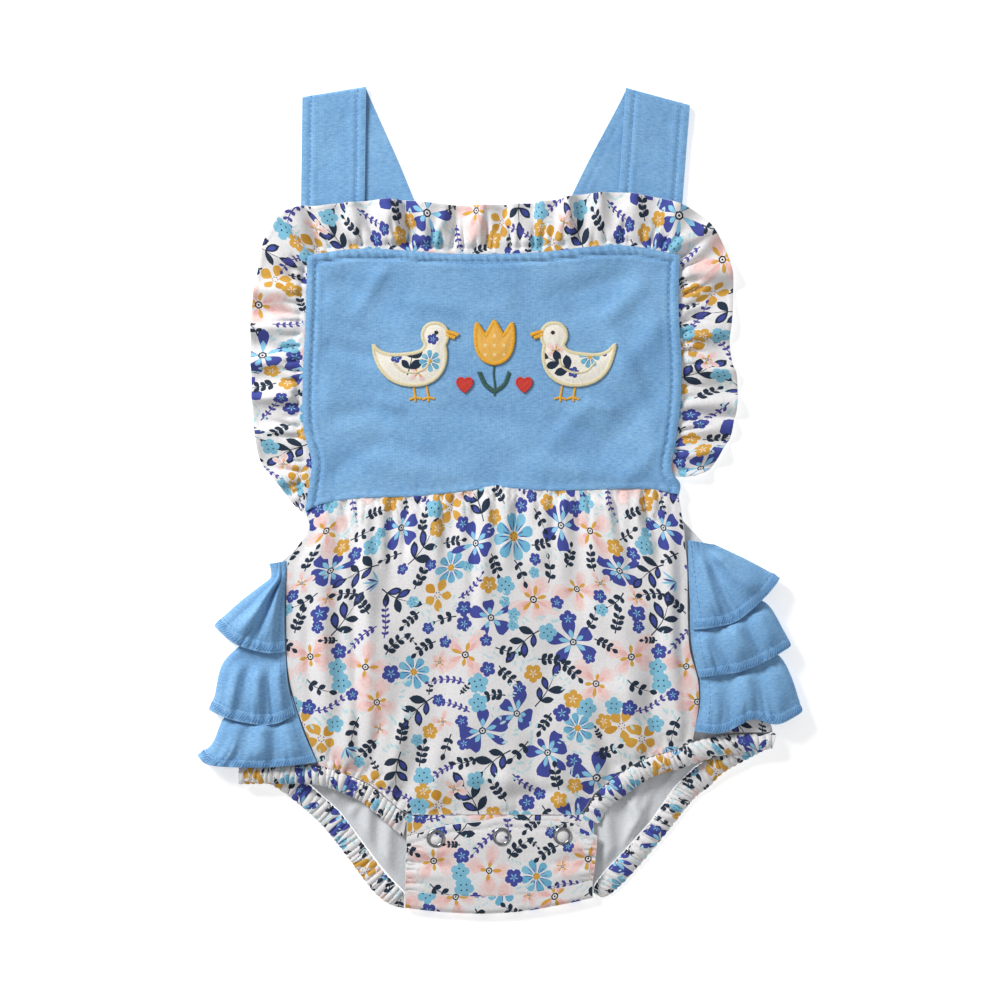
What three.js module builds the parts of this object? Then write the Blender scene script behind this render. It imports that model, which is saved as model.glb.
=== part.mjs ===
// A baby's bubble romper, laid flat on a table with its front up. Millimetres, +Z up from the table.
// +X is the right of the view from above, +Y runs up to the shoulders.
// The origin is on the table, under the middle of the garment's box.
import * as THREE from "three";

// Driving dimensions
const CLOTH = 1.2; // wall of every cloth piece, seam allowances and nap included
const GAP = 0.3; // air between two layers that lie on each other
const SEAM = 0.35; // how far each of two pieces stays back from the line of their seam
const LAYER = CLOTH + GAP;
const SHIFT = { x: -0.08, y: 0.35 }; // brings the middle of the box over the origin

// The middle of the cloth in the layer that has `count` layers under it.
const level = (count) => CLOTH / 2 + count * LAYER;

const BIB_MIDDLE = 4.2; // the bib sinks a little inside its seams
const BIB_FRAME = 26; // width of the bib's raised border
const RUFFLE_GATHERS = 27;
const RUFFLE_TUCK = 7; // how much of the ruffle lies flat under the bib's edge
const RUFFLE_CREST = 1.7; // half the rise of a ruffle wave at the free edge
const BAND_GATHERS = { front: 26, back: 28 };
const BAND_CREST = 0.5;
const WAIST_GATHERS = 17;
const STRAP_WIDTH = 34;
const SNAP = { outer: 4.7, inner: 3.5, height: 1.1 }; // radii and height of a ring snap
const PATCH = 0.9; // thickness of an applique patch

// Colours and finishes
const finish = (color, roughness, metalness = 0) => ({ color, roughness, metalness });
const BLUE = finish(0x6ea5dc, 0.9);
const PRINT = finish(0xefeef0, 0.88);
const CREAM = finish(0xf4efe2, 0.85);
const GOLD = finish(0xe2a83f, 0.8);
const RED = finish(0xc8402f, 0.8);
const SILVER = finish(0xc9ccd0, 0.3, 0.9);

// Small mathematics
const lerp = (a, b, t) => a + (b - a) * t;
const ease = (from, to, x) => THREE.MathUtils.smoothstep(x, from, to);

// A smooth curve through rows of numbers: t from 0 to 1 gives a row.
function through(rows) {
  const last = rows.length - 1;
  const at = (i) => rows[Math.min(Math.max(i, 0), last)];
  return (t) => {
    const place = Math.min(Math.max(t, 0), 1) * last;
    const i = Math.min(Math.floor(place), last - 1);
    const f = place - i;
    const [a, b, c, d] = [at(i - 1), at(i), at(i + 1), at(i + 2)];
    return b.map((value, k) => {
      const slope = (c[k] - a[k]) / 2;
      const nextSlope = (d[k] - value) / 2;
      const rise = c[k] - value;
      return value + f * (slope + f * (3 * rise - 2 * slope - nextSlope + f * (slope + nextSlope - 2 * rise)));
    });
  };
}

// The same curve, walked at an even pace: `length` measures a step between two rows.
function paced(rows, length = flatLength) {
  const curve = through(rows);
  const STEPS = 240;
  const walked = [0];
  for (let i = 1; i <= STEPS; i += 1) {
    walked.push(walked[i - 1] + length(curve((i - 1) / STEPS), curve(i / STEPS)));
  }
  return (t) => {
    const target = Math.min(Math.max(t, 0), 1) * walked[STEPS];
    let i = 1;
    while (i < STEPS && walked[i] < target) i += 1;
    const part = (target - walked[i - 1]) / (walked[i] - walked[i - 1]);
    return curve((i - 1 + part) / STEPS);
  };
}

function flatLength(a, b) {
  return Math.hypot(b[0] - a[0], b[1] - a[1]);
}

// A step along the middle of a strip whose rows hold an inner and an outer point.
function stripLength(a, b) {
  return Math.hypot(b[0] + b[2] - a[0] - a[2], b[1] + b[3] - a[1] - a[3]) / 2;
}

// The flat patch between four edges: u runs from left to right, v from top to bottom.
function patchBetween({ top, bottom, left, right }) {
  const corners = [top(0), top(1), bottom(0), bottom(1)];
  return (u, v) =>
    [0, 1].map((k) => {
      const ruledDown = lerp(top(u)[k], bottom(u)[k], v);
      const ruledAcross = lerp(left(v)[k], right(v)[k], u);
      const bilinear = lerp(lerp(corners[0][k], corners[1][k], u), lerp(corners[2][k], corners[3][k], u), v);
      return ruledDown + ruledAcross - bilinear;
    });
}

// An uneven wave for gathers: `count` crests from s = 0 to 1, between -1 and 1.
function gather(s, count, seed) {
  const wander = 0.3 * Math.sin(2 * Math.PI * 3 * s + seed) + 0.2 * Math.sin(2 * Math.PI * 5 * s + 2 * seed);
  return Math.sin(2 * Math.PI * (count * s + wander));
}

// How far a point is raised by a table of soft folds.
function foldHeight(folds, x, y) {
  let height = 0;
  for (const [x0, y0, x1, y1, rise, width] of folds) {
    const length = Math.hypot(x1 - x0, y1 - y0);
    const along = ((x - x0) * (x1 - x0) + (y - y0) * (y1 - y0)) / length;
    const across = ((x - x0) * (y1 - y0) - (y - y0) * (x1 - x0)) / length;
    const ends = ease(-0.15 * length, 0.15 * length, along) * (1 - ease(0.6 * length, 1.1 * length, along));
    height += rise * ends * Math.exp(-((across / width) ** 2));
  }
  return height;
}

// A cloth wall: a grid of points on the middle of the cloth, given half the wall on each side.
// `kept` says which cells of the grid are cloth.
function wall(name, look, surface, columns, rows, kept = () => true) {
  const middle = [];
  for (let j = 0; j <= rows; j += 1) {
    for (let i = 0; i <= columns; i += 1) {
      middle.push(new THREE.Vector3(...surface(i / columns, j / rows)));
    }
  }
  const spot = (i, j) => j * (columns + 1) + i;
  const point = (i, j) => middle[spot(Math.min(Math.max(i, 0), columns), Math.min(Math.max(j, 0), rows))];
  const positions = [];
  for (const side of [0.5, -0.5]) {
    for (let j = 0; j <= rows; j += 1) {
      for (let i = 0; i <= columns; i += 1) {
        const alongU = point(i + 1, j).clone().sub(point(i - 1, j));
        const alongV = point(i, j + 1).clone().sub(point(i, j - 1));
        const outward = alongU.cross(alongV).normalize();
        positions.push(...point(i, j).clone().addScaledVector(outward, side * CLOTH));
      }
    }
  }
  const under = middle.length;
  const faces = [];
  const edges = new Map();
  for (let j = 0; j < rows; j += 1) {
    for (let i = 0; i < columns; i += 1) {
      if (!kept(i, j)) continue;
      const [a, b, c, d] = [spot(i, j), spot(i + 1, j), spot(i + 1, j + 1), spot(i, j + 1)];
      faces.push(a, b, c, a, c, d, a + under, c + under, b + under, a + under, d + under, c + under);
      for (const [from, to] of [[a, b], [b, c], [c, d], [d, a]]) {
        if (!edges.delete(`${to},${from}`)) edges.set(`${from},${to}`, [from, to]);
      }
    }
  }
  for (const [from, to] of edges.values()) {
    faces.push(to, from, from + under, to, from + under, to + under);
  }
  const geometry = new THREE.BufferGeometry();
  geometry.setAttribute("position", new THREE.Float32BufferAttribute(positions, 3));
  geometry.setIndex(faces);
  return piece(name, geometry, look);
}

// A grid may hold points that no face uses, so each piece is rebuilt from its faces alone.
function piece(name, geometry, look) {
  const solid = geometry.index ? geometry.toNonIndexed() : geometry;
  solid.computeVertexNormals();
  const mesh = new THREE.Mesh(solid, new THREE.MeshStandardMaterial({ ...look, side: THREE.DoubleSide }));
  mesh.name = name;
  return mesh;
}

// Bib
// Each edge is a row of points, x and y.
const BIB = {
  top: paced([[-103.5, 131], [-73, 134.8], [-25, 132], [18, 132.6], [63, 136.6], [96.8, 131.4]]),
  left: paced([
    [-103.5, 131], [-104.2, 102], [-106, 61], [-105.4, 38], [-101.3, 22], [-101.5, 14], [-104.8, -6.3],
  ]),
  right: paced([
    [96.8, 131.4], [95.9, 105], [97.6, 65], [95, 35], [92.1, 17], [96.7, 8.4], [96.1, 3],
  ]),
};
const WAIST_SEAM = paced([
  [-104.8, -6.6], [-94.5, -2.2], [-75.6, 0.5], [-45.4, 1.6], [-22.7, 3.9],
  [0, 6.2], [27, 4.6], [76, 5.7], [91.3, 3.4], [96.1, 2.6],
]);
const besideWaistSeam = (offset) => (t) => {
  const [x, y] = WAIST_SEAM(t);
  return [x, y + offset];
};

function bibHeight(x, y) {
  const inside = Math.min(x + 104, 96 - x, 134 - y, y - 1);
  return lerp(level(3), BIB_MIDDLE, ease(9, BIB_FRAME, inside));
}

function bib() {
  const flat = patchBetween({ ...BIB, bottom: besideWaistSeam(SEAM) });
  return wall("bib", BLUE, (u, v) => {
    const [x, y] = flat(u, v);
    return [x, y, bibHeight(x, y)];
  }, 18, 12);
}

// Bib ruffle, from the lower left corner, over the top, to the lower right corner
// inner x, inner y, outer x, outer y
const RUFFLE = paced([
  [-101.5, -2, -107.5, -5.5],
  [-100.8, 8, -115.6, 3],
  [-98.8, 20, -128.3, 20.3],
  [-101, 37.5, -132.3, 38],
  [-101.5, 67, -134, 67.2],
  [-100, 97, -133.9, 100.2],
  [-99.4, 113, -130.7, 121.2],
  [-97.8, 122, -125.3, 142.3],
  [-92.9, 126.8, -115, 155.3],
  [-81, 129.5, -91.8, 158.5],
  [-54, 129.5, -57.2, 161.2],
  [-24.8, 127.8, -24.8, 158.5],
  [16.2, 128.3, 16.2, 159.6],
  [54, 131, 54, 165],
  [78.3, 130.4, 82.1, 162.8],
  [87.6, 127, 105.3, 154.7],
  [91.4, 120.5, 118.8, 139.6],
  [91.2, 107.7, 125.7, 115.8],
  [91.2, 83.4, 123.7, 83.4],
  [92.4, 60.2, 128, 60.2],
  [90.2, 35.4, 124.2, 35.4],
  [88, 22.4, 114.5, 19.2],
  [90, 13, 104.2, 12],
], stripLength);

// The ruffle lies on the table, but at the top it lies on the straps.
function ruffleFloor(x, y) {
  const onStraps = ease(28, 42, Math.abs(x + 4)) * ease(112, 124, y);
  return lerp(level(0) + 0.1, level(2), onStraps);
}

function bibRuffle() {
  return wall("bib_ruffle", PRINT, (u, v) => {
    const [innerX, innerY, outerX, outerY] = RUFFLE(u);
    const width = Math.hypot(outerX - innerX, outerY - innerY);
    const tuck = Math.min(RUFFLE_TUCK, width / 2);
    const fromSeam = v < 1 / 3 ? 3 * v * tuck : lerp(tuck, width, (3 * v - 1) / 2);
    const x = lerp(innerX, outerX, fromSeam / width);
    const y = lerp(innerY, outerY, fromSeam / width);
    const drop = lerp(level(2), ruffleFloor(x, y), ease(RUFFLE_TUCK, 4 * RUFFLE_TUCK, fromSeam));
    const crest = RUFFLE_CREST * ease(RUFFLE_TUCK, 5 * RUFFLE_TUCK, fromSeam) * (1 + 0.3 * gather(u, 7, 1));
    return [x, y, drop + crest * (1 + gather(u, RUFFLE_GATHERS, 0.7))];
  }, 5 * RUFFLE_GATHERS, 3);
}

// Straps: from the bib's top edge up to the shoulder fold, round it and down behind to the back waist
// front end, shoulder and back end are the middle of the strap, and `tilt` is how far the shoulder fold
// rises across it; the strap with a lift of 1 lies on the other where they cross
const STRAPS = {
  strap_left: { front: [-90.6, 126.5], shoulder: [-89.3, 219.6], back: [3.8, -7], tilt: 5.5, lift: 0 },
  strap_right: { front: [78.5, 126.5], shoulder: [85, 217.2], back: [-26.5, -12], tilt: -9.2, lift: 1 },
};

const STRAP_TURN = { from: 0.3, to: 0.42, radius: 1.2 }; // its share of the grid's rows, and its size

function strap(name) {
  const { front, shoulder, back, tilt, lift } = STRAPS[name];
  const turn = STRAP_TURN.radius;
  const { from, to } = STRAP_TURN;
  return wall(name, BLUE, (u, v) => {
    const side = (u - 0.5) * STRAP_WIDTH;
    const rise = (side / STRAP_WIDTH) * tilt;
    const top = shoulder[1] + rise - turn;
    if (v < from) {
      const t = v / from;
      const x = lerp(front[0], shoulder[0], t) + side;
      return [x, lerp(front[1], top, t), lerp(level(1), level(0) + 2 * turn, ease(0.7, 1, t))];
    }
    if (v < to) {
      const angle = (Math.PI * (v - from)) / (to - from);
      return [shoulder[0] + side, top + turn * Math.sin(angle), level(0) + turn * (1 + Math.cos(angle))];
    }
    const t = (v - to) / (1 - to);
    const slant = Math.hypot(1, (back[0] - shoulder[0]) / (shoulder[1] - back[1]));
    const widen = lerp(1, slant, ease(0, 0.2, t)); // a slanting strap is wider along X
    const y = lerp(top, back[1], t);
    const crossing = lift * (1 - ease(66, 84, y)) * LAYER;
    return [lerp(shoulder[0], back[0], t) + side * widen, y, level(0) + crossing];
  }, 2, 24);
}

// Front panel
const SEAM_LEFT = paced([
  [-104.8, -6.6], [-102.8, -16.5], [-108.5, -24.4], [-114, -33.5], [-114.9, -44.6], [-115.3, -67.8],
  [-114.9, -82.4], [-113.4, -96.7], [-109.6, -111.2], [-104.8, -124.7], [-97.7, -142.6],
]);
const SEAM_RIGHT = paced([
  [96.1, 2.6], [98.8, -13.8], [99.7, -23.5], [100.9, -38.8], [101.1, -61.8],
  [102.1, -80.2], [106.4, -96.7], [106.9, -111.2], [103.7, -129.5],
]);
const FRONT_HEM = paced([
  [-97.7, -142.6], [-83.7, -147.2], [-70.2, -153.1], [-61.6, -160.1], [-54, -166.6], [-48, -169.3],
  [-38, -169.5], [0, -169.5], [34, -169.5], [43.2, -169], [50.8, -158.5], [60.5, -150.4],
  [73.4, -141.5], [82.1, -137.7], [94.5, -134.2], [103.7, -129.5],
]);
// start x, start y, end x, end y, rise, half width
const FRONT_FOLDS = [
  [-97, -10, -95, -128, 0.9, 4.5],
  [-72.4, -2, -70, -148, 1.3, 5],
  [-40, 0, -44, -52, 0.8, 5],
  [-8.6, 4, -10, -64, 1, 5],
  [32, 3, 34, -60, 0.9, 4.5],
  [49, 3, 52, -88, 0.8, 5],
  [65, 4, 84, -33, 1.1, 4.5],
  [91, -20, 93, -106, 1, 5],
  [-83, -145, -78, -100, 0.9, 4],
  [-61, -158, -48, -106, 0.9, 4],
  [-36, -168, -33, -128, 0.8, 4],
  [2, -169, 4, -134, 0.8, 4.5],
  [34, -168, 30, -130, 0.8, 4],
  [54, -154, 42, -110, 0.9, 4],
  [76, -140, 66, -96, 0.9, 4],
];

function frontHeight(x, y) {
  const onBack = lerp(level(3), level(4), 1 - ease(-36, -4, y));
  const toCrotch = ease(-168, -118, y);
  const sides = ease(58, 98, Math.abs(x + 1));
  const low = lerp(level(2), onBack, toCrotch);
  return lerp(low, onBack, sides);
}

function frontPanel() {
  const top = besideWaistSeam(-SEAM);
  const flat = patchBetween({ top, bottom: FRONT_HEM, left: SEAM_LEFT, right: SEAM_RIGHT });
  return wall("front", PRINT, (u, v) => {
    const [edgeX, edgeY] = flat(u, v);
    const x = edgeX + SEAM * (1 - 2 * u);
    const inner = ease(0, 0.06, u) * ease(0, 0.06, 1 - u);
    const puckers = 0.55 * gather(u, WAIST_GATHERS, 2.1) * (1 - ease(0, 0.3, v)) * ease(0, 0.03, v);
    const folds = foldHeight(FRONT_FOLDS, x, edgeY) * ease(0, 0.06, v) * ease(0, 0.06, 1 - v);
    return [x, edgeY, frontHeight(x, edgeY) + inner * (0.4 + puckers + folds)];
  }, 44, 15);
}

// Back panel: its sides turn over at the outer folds and come back on top to the side seams,
// and its lower end turns up round the crotch
// left x, left y, right x, right y, height of the cloth's middle
const BACK_ROWS = [
  [-101.5, -9.5, 94, -6.5, level(0)],
  [-105.3, -23, 103.4, -17, 1.2],
  [-118.3, -34.3, 110.6, -24.6, level(2)],
  [-124, -45.6, 114.6, -31.5, level(2)],
  [-126.9, -60.8, 119.4, -50, level(2)],
  [-130.1, -78.6, 128, -73.2, level(2)],
  [-133.4, -100.2, 135, -92.1, level(2)],
  [-136.6, -121.8, 141.5, -109.4, level(2)],
  [-139.3, -141.6, 146.8, -125, level(2)],
  [-112.3, -144.2, 125.8, -131.8, 3],
  [-98.3, -156.9, 105.1, -143.7, 1.4],
  [-85.9, -168.2, 93.4, -155.3, level(0)],
  [-75.1, -182.8, 81, -173.1, level(0)],
  [-64.3, -197.4, 69.7, -186, level(0)],
  [-57.8, -204.9, 57.2, -199, level(0)],
  [-51.3, -211.4, 50.8, -207.1, level(0)],
  [-50.8, -217.6, 49.7, -212.2, level(0)],
];
const FIRST_WRAPPED = 2;
const LAST_WRAPPED = 8;
const BACK_COLUMNS = { wrap: 2, fold: 4, middle: 14 };
const CROTCH = { turnRows: 4, returned: 5, sag: 5.5 };

const SEAM_REACH = { from: 0.2, leftTo: 0.99, rightTo: 0.965 }; // the stretch of each side seam the back meets
const BACK_WIDTH = 2 * (BACK_COLUMNS.wrap + BACK_COLUMNS.fold) + BACK_COLUMNS.middle;

// One row of the back: `row` counts rows of the table, `across` counts columns of the grid.
function backPoint(row, across) {
  const lastRow = BACK_ROWS.length - 1;
  const [leftX, leftY, rightX, rightY, height] = through(BACK_ROWS)(Math.min(row, lastRow) / lastRow);
  const { wrap, fold, middle } = BACK_COLUMNS;
  const turn = (level(4) - level(2)) / 2;
  const near = Math.min(across, BACK_WIDTH - across);
  const left = across < BACK_WIDTH / 2;
  const out = left ? -1 : 1;
  const [edgeX, edgeY] = left ? [leftX, leftY] : [rightX, rightY];
  if (near >= wrap + fold) {
    const t = (across - wrap - fold) / middle;
    const below = ease(LAST_WRAPPED, LAST_WRAPPED + 1, row);
    const inset = turn * ease(FIRST_WRAPPED - 1, FIRST_WRAPPED, row) * (1 - below);
    const sag = CROTCH.sag * Math.sin(Math.PI * t) * ease(LAST_WRAPPED + 3, lastRow, row);
    return [lerp(leftX + inset, rightX - inset, t), lerp(leftY, rightY, t) - sag, height];
  }
  if (near >= wrap) {
    const angle = (Math.PI * (near - wrap)) / fold;
    const hub = edgeX - out * turn;
    return [hub + out * turn * Math.sin(angle), edgeY, height + turn * (1 + Math.cos(angle))];
  }
  const seam = left ? SEAM_LEFT : SEAM_RIGHT;
  const down = (row - FIRST_WRAPPED) / (LAST_WRAPPED - FIRST_WRAPPED);
  const [seamX, seamY] = seam(lerp(SEAM_REACH.from, left ? SEAM_REACH.leftTo : SEAM_REACH.rightTo, down));
  const t = near / wrap;
  return [lerp(seamX + out * SEAM, edgeX - out * turn, t), lerp(seamY, edgeY, t), height + 2 * turn];
}

function backPanel() {
  const tableRows = BACK_ROWS.length - 1;
  const rows = tableRows + CROTCH.turnRows + 1;
  const turn = (level(3) - level(0)) / 2;
  const surface = (u, v) => {
    const row = v * rows;
    const [x, y, z] = backPoint(row, u * BACK_WIDTH);
    if (row <= tableRows) return [x, y, z];
    const angle = Math.PI * Math.min((row - tableRows) / CROTCH.turnRows, 1);
    const up = Math.max(row - tableRows - CROTCH.turnRows, 0) * CROTCH.returned;
    return [x, y - turn * Math.sin(angle) + up, level(0) + turn * (1 - Math.cos(angle))];
  };
  const { wrap, fold } = BACK_COLUMNS;
  const kept = (i, j) => {
    const inMiddle = i >= wrap + fold && i < BACK_WIDTH - wrap - fold;
    return inMiddle || (j >= FIRST_WRAPPED && j < LAST_WRAPPED);
  };
  return wall("back", PRINT, surface, BACK_WIDTH, rows, kept);
}

// Leg bands: from the crotch along the front of the leg hole, round the side, and along its back
// inner x, inner y, free x, free y, height of the cloth's middle
const LEG_BANDS = {
  leg_band_left: {
    front: [
      [-50, -170.6, -52.4, -181.7, 3.6],
      [-54.8, -167.2, -59, -175.5, 3.9],
      [-62.3, -160.9, -66.4, -169, 4.4],
      [-70.7, -154, -74.5, -162.3, 5],
      [-83.9, -148.1, -85.9, -156.9, 5.8],
      [-97.8, -143.6, -98.3, -153.1, 6.5],
      [-113.4, -143.4, -113.4, -152.3, 6.6],
      [-138.3, -143.4, -138.3, -152.5, 6.6],
    ],
    back: [
      [-138.3, -143.4, -138.3, -152.5, 3.6],
      [-121, -143.7, -125.3, -152.6, 3.4],
      [-110.5, -147.8, -116.6, -157.4, 2.4],
      [-99.6, -157.6, -105.8, -166, 1.2],
      [-87, -169, -95, -176.3, 0.6],
      [-76.1, -183.6, -84.2, -189.8, 0.6],
      [-65.4, -198.3, -73.4, -204.4, 0.6],
      [-58.6, -206, -66.2, -213, 0.6],
      [-52.6, -211.9, -58.9, -218.2, 0.6],
      [-51.9, -214, -51.9, -220.3, 0.6],
    ],
    outward: -1,
  },
  leg_band_right: {
    front: [
      [45.4, -170, 53.1, -174.7, 3.6],
      [49.4, -163.6, 57, -167.1, 3.8],
      [53.2, -157.7, 61, -163.3, 4.2],
      [61.5, -150.6, 68, -158, 4.9],
      [74, -142.3, 78.8, -150.4, 5.7],
      [82.6, -138.5, 86.4, -147.1, 6.2],
      [94.9, -135.1, 98.5, -143.7, 6.6],
      [104.7, -130.6, 111.2, -139, 6.6],
      [123, -127, 129.6, -135.5, 6.6],
      [146.3, -126.5, 144.8, -133.5, 6.6],
    ],
    back: [
      [146.3, -126.5, 144.8, -133.5, 3.6],
      [127, -132.4, 133, -139.5, 3.3],
      [115.3, -138.6, 119.9, -147.1, 2.4],
      [105.9, -144.7, 112.6, -154.5, 1.4],
      [94.5, -156, 104.3, -161.2, 0.6],
      [82.1, -173.9, 91.3, -177.4, 0.6],
      [70.7, -186.8, 79.4, -192, 0.6],
      [58.3, -199.8, 67.5, -205.2, 0.6],
      [51.8, -207.9, 59.4, -212.5, 0.6],
      [50.7, -212.2, 55, -214.6, 0.6],
    ],
    outward: 1,
  },
};

function legBand(name) {
  const { front, back, outward } = LEG_BANDS[name];
  const start = front[front.length - 1];
  const turn = (start[4] - back[0][4]) / 2;
  const turned = [45, 90, 135].map((degrees) => {
    const angle = THREE.MathUtils.degToRad(degrees);
    const out = outward * turn * Math.sin(angle);
    return [start[0] + out, start[1], start[2] + out, start[3], back[0][4] + turn * (1 + Math.cos(angle))];
  });
  const length = (a, b) => Math.hypot(stripLength(a, b), b[4] - a[4]);
  const strip = paced([...front, ...turned, ...back], length);
  const gathers = BAND_GATHERS.front + BAND_GATHERS.back;
  return wall(name, PRINT, (u, v) => {
    const [innerX, innerY, freeX, freeY, rowHeight] = strip(u);
    const height = Math.max(rowHeight, level(0));
    const ends = ease(0, 0.06, u) * ease(0, 0.06, 1 - u);
    const zigzag = 1 - Math.abs(((u * gathers * 2) % 4) - 2);
    const onTable = 1 - ease(level(0), level(1), height); // there the gathers only rise
    const ripple = BAND_CREST * ends * (zigzag + onTable);
    const bulge = BAND_CREST * Math.sin(Math.PI * v);
    return [lerp(innerX, freeX, v), lerp(innerY, freeY, v), height + bulge + ripple];
  }, 2 * gathers, 2);
}

// Seat tiers: from the left side seam over the side fold, flat across the underside, and back on top
// to the right side seam. Each edge is a row of points, x and y: `seam` runs down the side seam,
// `fold` down the outer fold, and `hem` from the fold's tip to the side seam.
const TIERS = {
  tier_1: {
    left: {
      seam: [[-114.8, -34.6], [-115.9, -57], [-115.7, -81.6]],
      fold: [[-126.2, -44.6], [-138.5, -54.3], [-153.4, -67.8]],
      hem: [[-153.4, -67.8], [-143.3, -76.4], [-133.7, -80.2], [-124, -82.2], [-115.7, -81.6]],
    },
    right: {
      seam: [[101.2, -22], [101.9, -48.9], [103.4, -69.8]],
      fold: [[115.6, -24.6], [133.4, -33], [150.3, -42.2]],
      hem: [[150.3, -42.2], [143.1, -50.9], [127.7, -64.6], [114.2, -68.3], [103.4, -69.8]],
    },
    waves: 3, droop: 14, seed: 0.4,
  },
  tier_2: {
    left: {
      seam: [[-115.8, -71.6], [-114.3, -97], [-110.2, -115]],
      fold: [[-133, -73.7], [-148.4, -87.6], [-153.4, -106.1], [-156.4, -112.8]],
      hem: [[-156.4, -112.8], [-143.3, -118], [-128.8, -120.5], [-119.2, -119.8], [-110.2, -115]],
    },
    right: {
      seam: [[102.2, -59.7], [103.2, -78.6], [106.9, -95.4]],
      fold: [[128.5, -52.1], [143, -56], [152.4, -70.7], [156.2, -78.6]],
      hem: [[156.2, -78.6], [143.1, -86.1], [128.1, -92.3], [118, -93.7], [106.9, -95.4]],
    },
    waves: 3, droop: 7, seed: 1.9,
  },
  tier_3: {
    left: {
      seam: [[-112, -105.6], [-106, -124], [-98.6, -140.9]],
      fold: [[-136.6, -106.6], [-148.1, -117.5], [-154.6, -131.5], [-162.4, -137.4]],
      hem: [[-162.4, -137.4], [-156.5, -142], [-138.5, -143.4], [-119.2, -143], [-98.6, -140.9]],
    },
    right: {
      seam: [[106.9, -85.6], [107.8, -108.3], [104.6, -124.4]],
      fold: [[138.8, -80.2], [149.6, -84], [156.4, -95.3], [162.3, -113.9]],
      hem: [[162.3, -113.9], [149, -120.3], [136, -117.5], [128.5, -120.7], [119, -125], [104.6, -124.4]],
    },
    waves: 3, droop: 4, seed: 3.3,
  },
};
const TIER_SPANS = { top: 8, turn: 4, under: 12 };
const TIER_RISE = 1.5; // half the rise of a wave at a tier's hem

function tierTop({ seam, fold, hem }) {
  const hemLine = paced([...hem].reverse());
  const gatherLine = paced([seam[0], fold[0]]);
  return patchBetween({ top: gatherLine, bottom: hemLine, left: paced(seam), right: paced(fold) });
}

function tier(name) {
  const { left, right, waves, droop, seed } = TIERS[name];
  const tops = { left: tierTop(left), right: tierTop(right) };
  const { top, turn, under } = TIER_SPANS;
  const columns = 2 * (top + turn) + under;
  return wall(name, BLUE, (u, v) => {
    const across = u * columns;
    const near = Math.min(across, columns - across);
    const side = across < columns / 2 ? "left" : "right";
    const out = side === "left" ? -1 : 1;
    const fall = ease(0.3, 0.62, v);
    const above = level(5) + LAYER * fall;
    const below = level(1) - LAYER * fall;
    const radius = (above - below) / 2;
    // The turn takes up the last of the top: `flatShare` is what lies flat before it.
    const turnStart = (whichSide) => {
      const [seamX, seamY] = tops[whichSide](0, v);
      const [foldX, foldY] = tops[whichSide](1, v);
      const flatShare = 1 - radius / Math.hypot(foldX - seamX, foldY - seamY);
      return [flatShare, ...tops[whichSide](flatShare, v)];
    };
    const [flatShare, startX, startY] = turnStart(side);
    if (near < top) {
      const t = near / top;
      const [x, y] = tops[side](t * flatShare, v);
      const ends = ease(0, 0.2, t) * ease(0, 0.15, 1 - t);
      const open = TIER_RISE * ease(0.45, 0.9, v) * ends;
      return [x, y, above + open * (1 + gather(t, waves, seed + out))];
    }
    if (near < top + turn) {
      const [foldX, foldY] = tops[side](1, v);
      const angle = (Math.PI * (near - top)) / turn;
      const reach = Math.sin(angle);
      return [lerp(startX, foldX, reach), lerp(startY, foldY, reach), below + radius * (1 + Math.cos(angle))];
    }
    const t = (across - top - turn) / under;
    const [, leftX, leftY] = turnStart("left");
    const [, rightX, rightY] = turnStart("right");
    const hang = droop * v * (1 - (2 * t - 1) ** 4);
    return [lerp(leftX, rightX, t), lerp(leftY, rightY, t) - hang, below];
  }, columns, 6);
}

// Crotch flap, placket strip and snaps
// The flap's lower edge follows the back's end, which has come up round the crotch.
function crotchSeam(t) {
  const { wrap, fold, middle } = BACK_COLUMNS;
  const [x, y] = backPoint(BACK_ROWS.length - 1, wrap + fold + t * middle);
  return [x, y + CROTCH.returned + 2 * SEAM];
}

const FLAP = {
  top: paced([
    [-50, -181.7], [-34.6, -176.8], [-21.9, -174.5], [-9.2, -173.3], [0.5, -171],
    [11.9, -173], [36.2, -173.6], [43.2, -176.8], [52.3, -181.2],
  ]),
  bottom: crotchSeam,
  left: paced([[-50, -181.7], [-50.6, -197], crotchSeam(0)]),
  right: paced([[52.3, -181.2], [51.4, -192], crotchSeam(1)]),
};
const SNAP_PLACES = [[-34.6, -182.3], [0.8, -181.3], [33.6, -181]];

function crotchFlap() {
  const flat = patchBetween(FLAP);
  return wall("crotch_flap", PRINT, (u, v) => {
    const [x, y] = flat(u, v);
    return [x, y, level(3)];
  }, 14, 4);
}

function placket() {
  const [left, right, top, bottom] = [-47, 42.6, -170.4, -189];
  return wall("placket", PRINT, (u, v) => [lerp(left, right, u), lerp(top, bottom, v), level(2)], 8, 2);
}

function snap(name, x, y) {
  const { outer, inner, height } = SNAP;
  const profile = [];
  const sides = 6;
  for (let i = 0; i <= sides; i += 1) {
    const angle = (Math.PI * 2 * i) / sides;
    profile.push(new THREE.Vector2(
      (outer + inner) / 2 + ((outer - inner) / 2) * Math.cos(angle),
      (height / 2) * Math.sin(angle),
    ));
  }
  const ring = piece(name, new THREE.LatheGeometry(profile, 20), SILVER);
  ring.rotation.x = Math.PI / 2;
  ring.position.set(x, y, level(3) + CLOTH / 2 + GAP + height / 2);
  return ring;
}

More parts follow.
